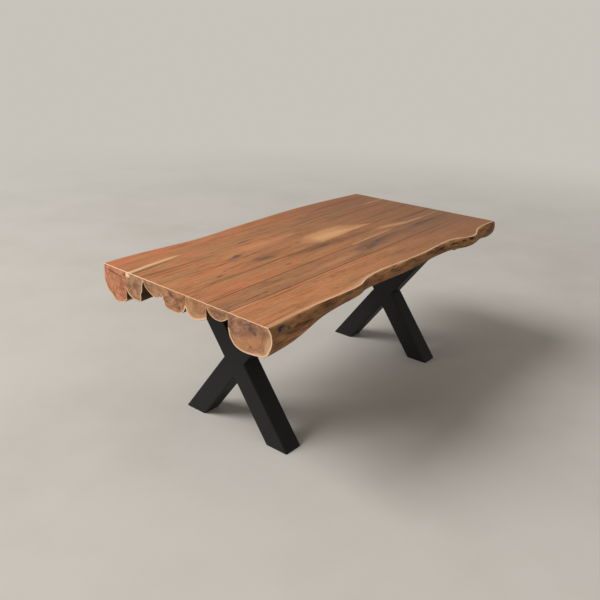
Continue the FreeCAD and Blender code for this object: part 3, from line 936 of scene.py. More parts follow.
@dataclass
class Board:
    """One half log: planed top, sawn ends and seams, and its natural round below."""
    number: int
    finishes: List[Material]               # in the order of `Face`
    station_step: float = 0.007
    round_points: int = 52
    relief: float = 0.0032
    edge_relief: float = 0.0022
    seam_ease: float = 0.0007
    blend_length: float = 0.34             # over which the left end's own shape dies away
    sharp_angle: float = math.radians(40)
    upper_points: int = 30                 # of a section, above and below its widest line
    lower_points: int = 90
    upright: float = 0.98                  # sine that a section's upper arc stops short of
    least_belly: float = 0.003
    calm_depth: float = 0.016              # below the face, over which the relief comes in
    calm_points: int = 6                   # in from a seam, likewise

    def __post_init__(self) -> None:
        """Works out the curves that the log follows."""
        self.log = LOGS[self.number]
        run = [Station(*row) for row in self.log.run]
        places = [station.place * TOP_LENGTH - HALF_LENGTH for station in run]
        self.wave = Curve(places, [station.wave * MM for station in run])
        self.depth = Curve(places, [station.depth * MM for station in run])
        self.belly = Curve(places, [station.belly * MM for station in run])
        self.fullness = Curve(places, [station.fullness for station in run])
        self.back_line = seam_line(self.number)
        self.front_line = seam_line(self.number + 1)
        self.left_end = self._smooth(np.array(self.log.left_end, float) * MM)
        self.runs = self._runs()

    def _smooth(self, points: Array) -> Array:
        """A curve through measured points, in even steps.

        Args:
            points: Rows of (y, z).

        Returns:
            Rows of (y, z) along the curve.
        """
        length = run_length(points)
        even = np.linspace(0, length[-1], self.round_points + 1)
        return np.stack([Curve(length, points[:, axis]).at(even) for axis in range(2)], 1)

    def span(self, x: Array) -> Tuple[Array, Array]:
        """The planed face's width.

        Args:
            x: Places along the top, from its middle.

        Returns:
            Y of the front edge and of the back edge there.
        """
        share = (x + HALF_LENGTH) / TOP_LENGTH
        front = self.front_line[0] + (self.front_line[1] - self.front_line[0]) * share
        back = self.back_line[0] + (self.back_line[1] - self.back_line[0]) * share
        if self.log.live is Edge.BACK:
            back = back + self.wave.at(x)
        if self.log.live is Edge.FRONT:
            front = front - self.wave.at(x)
        return front, back

    def span_at(self, x: float) -> Pair:
        """Y of the planed face's front and back edge at one place."""
        front, back = self.span(np.array(x))
        return float(front), float(back)

    def corners(self, x: float) -> Tuple[float, float, float]:
        """The log's width at its face before its sides were sawn.

        Args:
            x: Place along the top, from its middle.

        Returns:
            Y of the front edge, of the back edge and of the log's middle.
        """
        front, back = self.span_at(x)
        off = self.log.sawn_off * MM
        lean = self.log.lean * MM
        if self.log.live is Edge.BACK:
            front -= off
        elif self.log.live is Edge.FRONT:
            back += off
        else:
            middle = (front + back) / 2 + lean
            return front - off - abs(lean), back + off + abs(lean), middle
        return front, back, (front + back) / 2

    def section(self, x: float) -> Array:
        """The log's natural round at x.

        Args:
            x: Place along the top, from its middle.

        Returns:
            Rows of (y, z) in even steps, from the back corner down and up to the front one.
        """
        log = self.log
        where = np.array(x)
        depth = float(self.depth.at(where))
        belt = log.belt * depth
        low = depth - belt
        front_corner, back_corner, middle = self.corners(x)
        reach = (back_corner - front_corner) / 2
        sawn_belly = reach / math.sqrt(1 - (belt / low) ** 2) - reach
        sides = []
        for edge, sign in ((Edge.BACK, 1), (Edge.FRONT, -1)):
            belly, fullness = sawn_belly, 2.0
            if log.live is edge:
                belly = max(float(self.belly.at(where)), self.least_belly)
                fullness = float(self.fullness.at(where))
            wide = reach + belly
            high = belt / math.sqrt(1 - (reach / wide) ** 2)
            start = math.asin(min(self.upright, belt / high))
            upper = np.linspace(start, 0, self.upper_points)[:-1]
            lower = np.linspace(0, math.pi / 2, self.lower_points)
            across = np.concatenate([wide * np.cos(upper),
                                     wide * np.clip(np.cos(lower), 0, 1) ** (2 / fullness)])
            up = np.concatenate([high * np.sin(upper), -low * np.sin(lower) ** (2 / fullness)])
            sides.append(np.stack([middle + sign * across, TOP_HEIGHT - belt + up], 1))
        line = np.concatenate([sides[0], sides[1][-2::-1]])
        front, back = self.span_at(x)
        if log.live is not Edge.BACK:
            line = self._sawn(line, back, 1)
        if log.live is not Edge.FRONT:
            line = self._sawn(line[::-1], front, -1)[::-1]
        length = run_length(line)
        even = np.linspace(0, length[-1], self.round_points + 1)
        return np.stack([np.interp(even, length, line[:, axis]) for axis in range(2)], 1)

    @staticmethod
    def _sawn(line: Array, plane: float, sign: int) -> Array:
        """Cuts a line off where it last lies beyond a seam.

        Args:
            line: Rows of (y, z), from the seam's side.
            plane: Y of the seam.
            sign: 1 where beyond is towards the back, -1 where it is towards the front.

        Returns:
            The rows that stay, with one on the seam.
        """
        beyond = np.nonzero((line[:, 0] - plane) * sign > 0)[0]
        if not len(beyond):
            return line
        last = beyond[-1]
        before, after = line[last], line[last + 1]
        share = (before[0] - plane) / (before[0] - after[0])
        return np.concatenate([[before + (after - before) * share], line[last + 1:]])

    def round_at(self, x: float) -> Array:
        """The natural round with the left end's own shape, its hollows and its ripples.

        Args:
            x: Place along the top, from its middle.

        Returns:
            Rows of (y, z) from the back corner to the front one.
        """
        line = self.section(x)
        share = min(1.0, max(0.0, 1 - (x + HALF_LENGTH) / self.blend_length))
        share = share * share * (3 - 2 * share)
        if share:
            here, there = self.corners(x), self.corners(-HALF_LENGTH)
            drift = (here[0] + here[1] - there[0] - there[1]) / 2
            line = line + (self.left_end + [drift, 0.0] - line) * share
        front, back = self.span_at(x)
        if self.log.live is not Edge.BACK:
            line[0, 0] = back
            line[1:, 0] = np.minimum(line[1:, 0], back)
        if self.log.live is not Edge.FRONT:
            line[-1, 0] = front
            line[:-1, 0] = np.maximum(line[:-1, 0], front)
        along = np.gradient(line, axis=0)
        along /= np.maximum(np.hypot(*along.T)[:, None], 1e-9)
        inward = np.stack([along[:, 1], -along[:, 0]], 1)
        for row, (y, z) in enumerate(line.copy()):
            broad = Vector((x * 5, y * 16, z * 16 + 7.1 * self.number))
            ridge = Vector((x * 11, y * 44, z * 44 + 13.7 * self.number))
            sunk = half_noise(broad) * 0.45 + half_noise(ridge) * 0.38
            sunk += half_noise(ridge * 2.9) * 0.17
            sunk *= self.relief * min(1.0, 0.1 + (TOP_HEIGHT - z) / self.calm_depth)
            if self.log.live is Edge.NONE:
                sunk *= min(1.0, min(row, len(line) - 1 - row) / self.calm_points)
            line[row] += inward[row] * sunk
        return line

    def ragged_edge(self, x: float) -> float:
        """How far the live edge of the planed face is nibbled back.

        Args:
            x: Place along the top, from its middle.

        Returns:
            The depth in metres.
        """
        fine = half_noise(Vector((x * 34, 3.1 * self.number, 0.7)))
        finer = half_noise(Vector((x * 110, 3.1 * self.number, 4.7)))
        return self.edge_relief * (0.7 * fine + 0.3 * finer)

    def _runs(self) -> List[Tuple[Run, float]]:
        """Points of the outline, from the front edge over the top and round below.

        Returns:
            The run that each point belongs to and where it lies on it.
        """
        seamed_back = self.log.live is not Edge.BACK
        seamed_front = self.log.live is not Edge.FRONT
        steps = range(0 if seamed_back else 1, self.round_points + (1 if seamed_front else 0))
        near = (0.0, self.seam_ease) + EDGE_POINTS
        table = ((Run.FRONT, near), (Run.ACROSS, ACROSS_POINTS), (Run.BACK, near[::-1]),
                 (Run.BACK_SEAM, SEAM_POINTS if seamed_back else ()), (Run.ROUND, steps),
                 (Run.FRONT_SEAM, SEAM_POINTS[::-1] if seamed_front else ()))
        return [(run, float(value)) for run, values in table for value in values]

    def stations(self) -> Array:
        """Where the sections are, close together where the ends are eased.

        Returns:
            Places along the top, from its middle.
        """
        ease = [inward for inward, _ in EASED_END]
        count = int((TOP_LENGTH - 2 * PLAIN_FROM) / self.station_step)
        inner = np.linspace(-HALF_LENGTH + PLAIN_FROM, HALF_LENGTH - PLAIN_FROM, count)
        left = [-HALF_LENGTH + value for value in ease]
        right = [HALF_LENGTH - value for value in reversed(ease)]
        return np.array(left + inner.tolist() + right)

    def outline(self, x: float) -> Array:
        """The board's whole outline.

        Args:
            x: Place along the top, from its middle.

        Returns:
            Rows of (y, z) in the order of `runs`.
        """
        line = self.round_at(x)
        front, back = self.span_at(x)
        front_ease = back_ease = self.seam_ease
        if self.log.live is Edge.BACK:
            back -= self.ragged_edge(x)
            back_ease = 0.0
        if self.log.live is Edge.FRONT:
            front += self.ragged_edge(x)
            front_ease = 0.0
        rows = []
        for run, value in self.runs:
            if run is Run.FRONT:
                rows.append((front + value, TOP_HEIGHT - (0.0 if value else front_ease)))
            elif run is Run.ACROSS:
                rows.append((front + (back - front) * value, TOP_HEIGHT))
            elif run is Run.BACK:
                rows.append((back - value, TOP_HEIGHT - (0.0 if value else back_ease)))
            elif run is Run.BACK_SEAM:
                rows.append((back, TOP_HEIGHT - value * (TOP_HEIGHT - line[0, 1])))
            elif run is Run.FRONT_SEAM:
                rows.append((front, TOP_HEIGHT - value * (TOP_HEIGHT - line[-1, 1])))
            else:
                rows.append(tuple(line[int(value)]))
        return np.array(rows)

    def build(self) -> Thing:
        """Builds the board.

        Returns:
            The board's object, in place.
        """
        stations = self.stations()
        outlines = np.stack([self.outline(x) for x in stations])
        natural = np.array([run is Run.ROUND for run, _ in self.runs])
        self.rounds = [(x, rows[natural]) for x, rows in zip(stations, outlines)]
        for row, (_, lowered) in enumerate(EASED_END):
            for station in (row, len(stations) - 1 - row):
                level = outlines[station, :, 1]
                outlines[station, :, 1] = np.minimum(level, TOP_HEIGHT - lowered)
        shift = END_SKEW * outlines[:, :, 0] * skew_share(stations)[:, None]
        front, back = self.span(stations)
        share = (outlines[:, :, 0] - front[:, None]) / (back - front)[:, None]
        front_slope = (self.front_line[1] - self.front_line[0]) / TOP_LENGTH
        back_slope = (self.back_line[1] - self.back_line[0]) / TOP_LENGTH
        slope = front_slope + (back_slope - front_slope) * np.clip(share, 0, 1)
        points = np.stack([stations[:, None] + shift, outlines[:, :, 0] + shift * slope,
                           outlines[:, :, 1]], 2).reshape(-1, 3)
        faces, looks = self._skin(len(stations))
        points = self._caps(points, faces, looks, len(stations))
        points[:, :2] += TOP_MIDDLE[:2]
        made = new_object("table_" + self.log.node, points, faces)
        made.data.polygons.foreach_set("material_index", looks)
        for finish in self.finishes:
            made.data.materials.append(finish)
        return made

    def _skin(self, stations: int) -> Tuple[Quads, List[int]]:
        """Joins each section to the next.

        Args:
            stations: How many sections there are.

        Returns:
            The faces, and the material slot of each.
        """
        count = len(self.runs)
        faces = []
        looks = []
        for row in range(stations - 1):
            eased = row < 2 or row >= stations - 3
            for column in range(count):
                after = (column + 1) % count
                first = row * count
                second = first + count
                faces.append((first + column, second + column, second + after, first + after))
                pair = {self.runs[column][0], self.runs[after][0]}
                if pair <= FLAT_RUNS:
                    looks.append(Face.ARRIS.value if eased else Face.PLANED.value)
                else:
                    looks.append(Face.SAWN.value if pair & SEAM_RUNS else Face.ROUND.value)
        return faces, looks

    @staticmethod
    def _caps(points: Array, faces: Quads, looks: List[int], stations: int) -> Array:
        """Closes both ends with rings that shrink to a middle point.

        Args:
            points: Vertices of the sections.
            faces: The faces so far, which the caps' faces are added to.
            looks: The faces' material slots, likewise.
            stations: How many sections there are.

        Returns:
            The vertices, with the caps' own behind them.
        """
        count = len(points) // stations
        for end in (0, stations - 1):
            turn = 1 if end == 0 else -1
            rim = points[end * count:(end + 1) * count]
            centre = rim.mean(0)
            ring = list(range(end * count, (end + 1) * count))
            for share in CAP_RINGS:
                fresh = len(points)
                points = np.vstack([points, centre + (rim - centre) * share])
                for column in range(count):
                    after = (column + 1) % count
                    quad = (ring[column], ring[after], fresh + after, fresh + column)
                    faces.append(quad[::turn])
                ring = list(range(fresh, fresh + count))
            points = np.vstack([points, centre[None, :]])
            for column in range(count):
                fan = (ring[column], ring[(column + 1) % count], len(points) - 1)
                faces.append(fan[::turn])
        looks += [Face.END.value] * (len(faces) - len(looks))
        return points

    def from_bark(self, x: Array, y: Array, z: Array) -> Array:
        """Distance of points from the log's natural surface, measured square to the log.

        Args:
            x: Places along the top, from its middle.
            y: Places across it.
            z: Heights above the floor.

        Returns:
            The distances, none above `FAR_FROM_BARK`.
        """
        nominal = x.copy()
        for _ in range(2):
            nominal = x - END_SKEW * y * skew_share(nominal)
        places = np.array([place for place, _ in self.rounds])
        nearest = np.abs(nominal[:, None] - places[None, :]).argmin(1)
        result = np.full_like(x, FAR_FROM_BARK)
        for row in np.unique(nearest):
            chosen = nearest == row
            line = self.rounds[row][1]
            start, step = line[:-1], np.diff(line, axis=0)
            spots = np.stack([y[chosen], z[chosen]], 1)[:, None, :]
            share = ((spots - start) * step).sum(2) / np.maximum((step ** 2).sum(1), 1e-12)
            feet = start + step * np.clip(share, 0, 1)[:, :, None]
            result[chosen] = np.sqrt(((spots - feet) ** 2).sum(2)).min(1)
        return np.minimum(result, FAR_FROM_BARK)

    def seam_dirt_and_shade(self, x: Array, y: Array, z: Array) -> Array:
        """How dark the joint beside a point shows: dirt in the joint and painted shade of the
        groove.

        Args:
            x: Places along the top, from its middle.
            y: Places across it.
            z: Heights above the floor.

        Returns:
            The darkness, 0 away from the joints.
        """
        front, back = self.span(x)
        shade = np.zeros_like(x)
        for seam, distance in ((self.number - 1, back - y), (self.number, y - front)):
            if 0 <= seam < len(SEAM_DIRT_AND_SHADE):
                places, darks = np.array(SEAM_DIRT_AND_SHADE[seam]).T
                near = np.clip(1 - (np.abs(distance) - SEAM_BAND[0]) / SEAM_BAND[1], 0, 1)
                shade = np.maximum(shade, near * np.interp(x, places * MM, darks))
        return shade * (z > TOP_HEIGHT - SEAM_BAND_DEPTH)

    def cut_seats(self, made: Thing, cutters: Sequence[Thing]) -> None:
        """Lets the plates and the channel into the underside.

        Args:
            made: The board's object.
            cutters: Boxes that fill the seats.
        """
        for cutter in cutters:
            cut = made.modifiers.new("seat", "BOOLEAN")
            cut.operation = "DIFFERENCE"
            cut.solver = "EXACT"
            cut.object = cutter
        cut_board = made.evaluated_get(bpy.context.evaluated_depsgraph_get())
        mesh = bpy.data.meshes.new_from_object(cut_board)
        made.modifiers.clear()
        made.data = mesh

    def dress(self, made: Thing) -> Thing:
        """Stores what the finishes read, sets the shading and attaches the board in place of its
        node.

        Args:
            made: The board's object.

        Returns:
            The same object.
        """
        mesh = made.data
        points = np.empty(len(mesh.vertices) * 3)
        mesh.vertices.foreach_get("co", points)
        points = points.reshape(-1, 3) - np.array(TOP_MIDDLE)
        x, y, z = points.T
        fields = (("from_bark", self.from_bark(x, y, z)), ("seam", self.seam_dirt_and_shade(x, y, z)))
        for name, values in fields:
            layer = mesh.attributes.new(name, "FLOAT", "POINT")
            layer.data.foreach_set("value", values.astype(np.float32))
        looks = np.empty(len(mesh.polygons), np.int32)
        mesh.polygons.foreach_get("material_index", looks)
        smooth = (looks == Face.ROUND.value) | (looks == Face.ARRIS.value)
        mesh.polygons.foreach_set("use_smooth", smooth)
        mesh.set_sharp_from_angle(angle=self.sharp_angle)
        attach(made, "root")
        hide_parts(self.log.node)
        return made


# -------------------- what each board looks like
LEFT_END = -988.0                  # millimetres from the middle of the frames
END_MARK_DEPTH = 0.2               # how far marks reach into the wood, in metres
SIDE_MARK_DEPTH = 0.07


def spot(x: float, y: float, z: float) -> Point:
    """A place on the table, from one given in millimetres off the middle of the frames."""
    return (x * MM + FRAMES_MIDDLE.x, y * MM + FRAMES_MIDDLE.y, z * MM)


def on_end(y: float, z: float, wide: float, high: float, shade: Colour, weight: float,
           tilt: float = 0.0, soft: float = 0.6) -> Mark:
    """A mark that shows on the left end.

    Args:
        y: Across the table, in millimetres from the middle of the frames.
        z: Above the floor.
        wide: Half its width.
        high: Half its height.
        shade: Its colour.
        weight: How much of it shows.
        tilt: Its slant in radians.
        soft: How slowly its edge fades.

    Returns:
        The mark.
    """
    middle = spot(LEFT_END + END_SKEW * y, y, z)
    return Mark(middle, (END_MARK_DEPTH, wide * MM, high * MM), shade, weight, soft, tilt)


def on_round(x: float, y: float, z: float, long: float, high: float, shade: Colour,
             weight: float, soft: float) -> Mark:
    """A mark on the natural side.

    Args:
        x: Along the table, in millimetres from the middle of the frames.
        y: Across the table, likewise.
        z: Above the floor.
        long: Half its length.
        high: Half its height.
        shade: Its colour.
        weight: How much of it shows.
        soft: How slowly its edge fades.

    Returns:
        The mark.
    """
    return Mark(spot(x, y, z), (long * MM, SIDE_MARK_DEPTH, high * MM), shade, weight, soft)


CREAM = tone(240, 190, 144)
GREY_STAIN = tone(112, 92, 74)
HEART_PURPLE = tone(116, 78, 72)
RUST = tone(216, 122, 80)
UMBER = tone(132, 82, 52)
BLACK_KNOT = tone(46, 30, 26)
# round of the inner boards: darker wood with remains of bark, and painted shade of the gaps
# between the boards
DARK_AND_SHADED_ROUND = (tone(110, 76, 50), tone(70, 47, 31), tone(34, 23, 15))
BARE_ROUND = (tone(184, 134, 88), tone(147, 100, 61), tone(84, 56, 34))


@dataclass(frozen=True)
class BoardLook:
    """Colours and figure of one board."""
    grain: Grain
    pale: Colour
    middle: Colour
    deep: Colour
    figures: Tuple[Figure, ...]
    end_pale: Colour
    end_middle: Colour
    end_deep: Colour
    end_marks: Tuple[Mark, ...]
    round_figures: Tuple[Figure, ...] = ()
    round_tones: Tuple[Colour, Colour, Colour] = DARK_AND_SHADED_ROUND      # pale, middle and deep; the default is darkened as painted shade
    top_rim: Colour = tone(246, 206, 164)
    end_rim: float = 0.007
    end_sap: float = 0.0
    end_rings: float = 0.2

    def finishes(self, node: str, arris: Material, sawn: Material) -> List[Material]:
        """Makes the board's materials.

        Args:
            node: The board's name.
            arris: The material of the eased edges and their painted highlight, one for all boards.
            sawn: The material of the sawn sides, darkened in part as painted shade, one for all
                boards.

        Returns:
            The materials in the order of `Face`.
        """
        planed = PlanedWood(node + "_planed", self.grain, self.pale, self.middle, self.deep,
                            self.figures, self.top_rim)
        end = EndGrain(node + "_end", self.grain, self.end_pale, self.end_middle, self.end_deep,
                       self.end_marks, self.end_rim, self.end_sap, self.end_rings)
        live = LiveSide(node + "_round", self.grain, self.round_tones, self.round_figures)
        return [planed.material(), end.material(), live.material(), arris, sawn]


def grain_of(number: int, seed: float, pith_side: float, pith_depth: float,
             ring: float = 0.011) -> Grain:
    """Grain that follows the middle line of a board.

    Args:
        number: The board, counted from the back.
        seed: Which part of the noise it takes.
        pith_side: Pith behind the middle line.
        pith_depth: Pith below the planed face.
        ring: Width of a broad ring.

    Returns:
        The grain.
    """
    left, right = ((back + front) / 2
                   for back, front in zip(seam_line(number), seam_line(number + 1)))
    origin = (TOP_MIDDLE.x, TOP_MIDDLE.y + (left + right) / 2, TOP_HEIGHT)
    turn = math.atan2(right - left, TOP_LENGTH)
    return Grain(origin, turn, seed, pith_side, pith_depth, ring)


LOOKS = (
    BoardLook(grain_of(0, 3.0, 0.02, 0.05), tone(214, 144, 96), tone(192, 122, 78),
        tone(146, 86, 54), (
        Streak(((-990, 440, 30, 0.7), (-950, 446, 50, 0.75), (-890, 450, 44, 0.6),
            (-830, 452, 8, 0.2)), RUST, 1.2, 0.7),
        Streak(((-780, 446, 6, 0.0), (-720, 452, 34, 0.6), (-660, 450, 30, 0.55),
            (-590, 442, 6, 0.0)), RUST, 1.2, 0.7),
        Streak(((-1000, 309, 10, 0.95), (-960, 312, 11, 0.95), (-850, 329, 14, 0.95),
            (-750, 338, 13, 0.95), (-690, 344, 8, 0.85), (-640, 347, 1, 0.0)), CREAM, 0.7, 0.6),
        Streak(((300, 400, 4, 0.0), (500, 440, 16, 0.6), (750, 455, 20, 0.7),
            (1000, 448, 12, 0.6)), UMBER, 0.8, 1.0),
        Streak(((-600, 400, 3, 0.0), (-200, 420, 6, 0.6), (200, 440, 7, 0.5), (700, 470, 5, 0.3)),
            UMBER, 0.8, 1.0)),
        tone(214, 148, 110), tone(188, 122, 87), tone(142, 86, 60), (
        on_end(420, 754, 92, 3.2, tone(88, 46, 40), 0.85, 0.09, 0.7),
        on_end(345, 762, 16, 5, tone(70, 40, 38), 0.7),
        on_end(425, 700, 6, 40, tone(170, 92, 72), 0.5, 0.3),
        on_end(430, 648, 16, 4, tone(132, 74, 58), 0.6, 0.5)),
        round_tones=BARE_ROUND, top_rim=tone(204, 148, 112), end_rings=0.12),
    BoardLook(grain_of(1, 17.0, -0.01, 0.03), tone(206, 148, 98), tone(182, 124, 80),
        tone(132, 84, 52), (
        Streak(((-1000, 307, 17, 1.0), (-960, 311, 13, 0.95), (-850, 328, 14, 0.95),
            (-750, 337, 13, 0.95), (-690, 343, 8, 0.85), (-640, 346, 1, 0.0)), CREAM, 0.7, 0.6),
        Streak(((-1000, 280, 8, 0.8), (-930, 290, 9, 0.8), (-850, 304, 8, 0.7),
            (-760, 316, 5, 0.4), (-680, 322, 3, 0.0)), UMBER, 0.8, 0.9),
        Streak(((-1000, 228, 8, 0.7), (-880, 230, 10, 0.7), (-760, 232, 6, 0.35),
            (-700, 236, 3, 0.0)), UMBER, 1.0, 0.9),
        Streak(((740, 316, 2, 0.0), (850, 325, 5, 0.9), (1000, 329, 5, 0.9)),
            tone(206, 158, 120), 0.6, 0.6),
        Streak(((-380, 278, 2, 0.0), (-330, 284, 9, 0.9), (-280, 288, 11, 0.9),
            (-220, 292, 3, 0.3), (-150, 296, 2, 0.0)), GREY_STAIN, 0.9, 1.0),
        Streak(((-100, 300, 3, 0.0), (200, 318, 14, 0.6), (500, 345, 10, 0.5), (900, 380, 6, 0.4)),
            GREY_STAIN, 0.9, 1.0)),
        tone(194, 146, 108), tone(162, 118, 84), tone(112, 78, 55), (
        on_end(324, 767, 20, 12, tone(248, 212, 166), 1.0),
        on_end(270, 730, 22, 16, tone(126, 86, 66), 0.5),
        on_end(238, 716, 12, 30, tone(172, 130, 100), 0.5)),
        end_rim=0.007),
    BoardLook(grain_of(2, 29.0, 0.0, 0.02), tone(216, 150, 100), tone(190, 126, 80),
        tone(136, 84, 52), (
        Streak(((-545, 138, 3, 0.0), (-515, 143, 12, 0.95), (-490, 148, 16, 1.0),
            (-462, 150, 5, 0.6), (-400, 152, 2, 0.3), (-300, 156, 1, 0.0)),
            HEART_PURPLE, 0.6, 1.0),
        Streak(((-620, 122, 2, 0.0), (-560, 128, 5, 0.7), (-500, 134, 4, 0.7),
            (-420, 138, 3, 0.0)), HEART_PURPLE, 0.6, 1.0),
        Streak(((-760, 150, 3, 0.0), (-690, 156, 8, 0.7), (-630, 158, 4, 0.4),
            (-560, 158, 2, 0.0)), UMBER, 0.8, 1.0),
        Streak(((-160, 176, 2, 0.0), (-90, 178, 6, 0.7), (10, 180, 8, 0.7), (60, 180, 3, 0.0)),
            GREY_STAIN, 0.7, 1.0),
        Streak(((-1000, 190, 4, 0.7), (-850, 196, 7, 0.6), (-700, 205, 3, 0.0)), UMBER, 0.8, 0.8),
        Streak(((-460, 180, 3, 0.0), (-380, 196, 34, 0.7), (-250, 200, 36, 0.7),
            (-150, 205, 24, 0.5), (0, 210, 6, 0.0)), tone(222, 146, 100), 0.9, 1.0),
        Streak(((200, 235, 3, 0.0), (450, 250, 12, 0.6), (700, 262, 14, 0.6),
            (1000, 275, 10, 0.6)), UMBER, 0.9, 1.0)),
        tone(198, 148, 108), tone(164, 118, 84), tone(114, 78, 54), (
        on_end(190, 762, 26, 8, tone(116, 80, 60), 0.5),
        on_end(120, 730, 20, 6, tone(180, 136, 104), 0.6)),
        end_rim=0.004),
    BoardLook(grain_of(3, 41.0, 0.015, 0.03), tone(216, 150, 100), tone(188, 124, 78),
        tone(132, 82, 50), (
        Streak(((-130, 74, 20, 0.0), (-60, 72, 52, 0.5), (-15, 74, 78, 0.85), (60, 78, 84, 0.9),
            (200, 88, 80, 0.85), (280, 84, 66, 0.6), (340, 62, 36, 0.6), (430, 42, 10, 0.6),
            (480, 42, 4, 0.0)), tone(216, 156, 106), 0.6, 0.6),
        Streak(((-50, 62, 6, 0.0), (10, 60, 38, 0.7), (120, 60, 44, 0.85), (230, 56, 24, 0.7),
            (330, 46, 10, 0.6), (430, 42, 4, 0.0)), tone(230, 178, 126), 1.0, 0.9),
        Streak(((-700, 34, 2, 0.0), (-680, 36, 8, 0.5), (-655, 40, 6, 0.3), (-625, 43, 9, 0.55),
            (-596, 46, 6, 0.4), (-560, 50, 2, 0.0)), HEART_PURPLE, 0.9, 1.0),
        Streak(((-770, 0, 2, 0.0), (-748, 3, 8, 0.95), (-728, 4, 6, 0.8), (-690, 6, 2, 0.0)),
            UMBER, 0.6, 0.9),
        Streak(((-560, 40, 3, 0.0), (-490, 42, 16, 0.5), (-430, 46, 26, 0.7), (-360, 56, 28, 0.6),
            (-280, 66, 20, 0.4), (-180, 70, 3, 0.0)), tone(126, 92, 64), 1.0, 1.0),
        Streak(((-510, 48, 4, 0.0), (-450, 46, 20, 0.6), (-400, 34, 22, 0.7), (-370, 24, 10, 0.4),
            (-330, 24, 3, 0.0)), tone(104, 76, 56), 1.2, 1.1),
        Streak(((-1000, -30, 3, 0.4), (-700, -28, 5, 0.6), (-400, -20, 3, 0.3),
            (-200, -16, 2, 0.0)), UMBER, 0.8, 0.9),
        Streak(((430, 110, 2, 0.0), (600, 120, 14, 0.6), (800, 126, 16, 0.6),
            (1000, 132, 10, 0.5)), tone(124, 86, 64), 0.9, 1.0)),
        tone(196, 144, 102), tone(162, 113, 77), tone(110, 71, 48), (
        on_end(29, 757, 14, 8, tone(84, 54, 48), 0.75, 0.3),
        on_end(52, 742, 9, 5, tone(96, 60, 50), 0.6, -0.4),
        on_end(-22, 716, 9, 11, tone(110, 68, 52), 0.6, 0.4),
        on_end(12, 700, 26, 6, tone(190, 132, 98), 0.5)),
        end_rim=0.0075, end_rings=0.16),
    BoardLook(grain_of(4, 59.0, 0.0, 0.02), tone(212, 146, 96), tone(186, 122, 76),
        tone(130, 82, 52), (
        Streak(((-400, -16, 3, 0.0), (-300, -24, 18, 0.55), (-160, -30, 28, 0.8),
            (-60, -30, 30, 0.8), (60, -30, 26, 0.75), (160, -34, 20, 0.6), (300, -34, 16, 0.5),
            (480, -30, 8, 0.0)), tone(122, 84, 60), 1.0, 1.0),
        Streak(((-180, -28, 2, 0.0), (-110, -34, 10, 0.7), (-60, -28, 12, 0.7), (10, -22, 3, 0.0)),
            tone(92, 64, 48), 0.9, 1.0),
        Streak(((-440, -96, 2, 0.0), (-418, -97, 8, 0.9), (-400, -98, 7, 0.8),
            (-375, -99, 2, 0.0)), UMBER, 0.6, 0.9),
        Streak(((330, -44, 4, 0.0), (420, -52, 18, 0.6), (500, -62, 25, 0.75), (580, -75, 20, 0.8),
            (640, -87, 10, 0.85), (760, -90, 8, 0.8), (820, -90, 6, 0.4), (900, -86, 5, 0.5),
            (1000, -84, 4, 0.4)), tone(208, 158, 114), 0.9, 0.9),
        Streak(((20, -126, 2, 0.0), (60, -124, 8, 0.9), (240, -116, 9, 0.9), (400, -108, 7, 0.75),
            (460, -104, 3, 0.0)), tone(206, 154, 114), 0.8, 0.8),
        Streak(((-1000, -110, 10, 0.4), (-850, -106, 26, 0.5), (-650, -90, 24, 0.5),
            (-450, -70, 6, 0.0)), tone(210, 128, 86), 1.0, 0.9),
        Streak(((480, -20, 3, 0.0), (650, -24, 16, 0.6), (850, -20, 18, 0.7),
            (1000, -16, 14, 0.6)), tone(112, 78, 62), 0.9, 1.0)),
        tone(202, 152, 108), tone(174, 124, 84), tone(128, 84, 56), (
        on_end(-120, 742, 30, 16, tone(160, 114, 86), 0.5),
        on_end(-70, 760, 16, 14, tone(150, 104, 80), 0.5)),
        end_rim=0.011, end_sap=0.026, end_rings=0.34),
    BoardLook(grain_of(5, 71.0, 0.0, 0.015), tone(200, 144, 98), tone(170, 116, 76),
        tone(118, 76, 50), (
        Streak(((-1000, -246, 20, 0.5), (-900, -244, 20, 0.5), (-780, -236, 8, 0.0)),
            tone(132, 92, 64), 1.2, 1.0),
        Streak(((-620, -226, 4, 0.0), (-520, -226, 11, 0.5), (-400, -222, 11, 0.55),
            (-290, -216, 4, 0.0)), tone(124, 88, 66), 1.2, 1.1),
        Streak(((-500, -240, 2, 0.0), (-300, -236, 14, 0.5), (-150, -230, 16, 0.5),
            (0, -228, 5, 0.0)), tone(206, 142, 98), 0.9, 1.0),
        Streak(((-60, -210, 8, 0.0), (20, -206, 34, 0.75), (100, -192, 40, 0.8),
            (200, -180, 38, 0.75), (300, -174, 34, 0.65), (450, -166, 30, 0.55),
            (650, -162, 36, 0.65), (850, -158, 36, 0.65), (1000, -150, 30, 0.55)),
            tone(120, 86, 68), 1.1, 1.1),
        Streak(((10, -222, 3, 0.0), (60, -214, 16, 0.6), (130, -198, 17, 0.55),
            (230, -168, 15, 0.65), (310, -156, 12, 0.5), (420, -148, 4, 0.0)),
            tone(92, 68, 62), 1.2, 1.1),
        Streak(((520, -150, 2, 0.0), (640, -148, 9, 0.7), (760, -150, 10, 0.7),
            (880, -146, 3, 0.0)), tone(88, 62, 50), 0.9, 1.0)),
        tone(190, 142, 102), tone(156, 112, 78), tone(106, 73, 51), (
        on_end(-250, 760, 30, 8, tone(120, 84, 66), 0.5),
        on_end(-246, 742, 14, 7, tone(110, 76, 60), 0.5)),
        end_rim=0.0045),
    BoardLook(grain_of(6, 83.0, -0.01, 0.034, 0.013), tone(218, 152, 102), tone(194, 128, 80),
        tone(142, 86, 52), (
        Streak(((-1000, -308, 3, 1.0), (-900, -303, 3.5, 1.0), (-820, -299, 2.5, 0.8),
            (-760, -297, 1, 0.0)), CREAM, 0.6, 0.4),
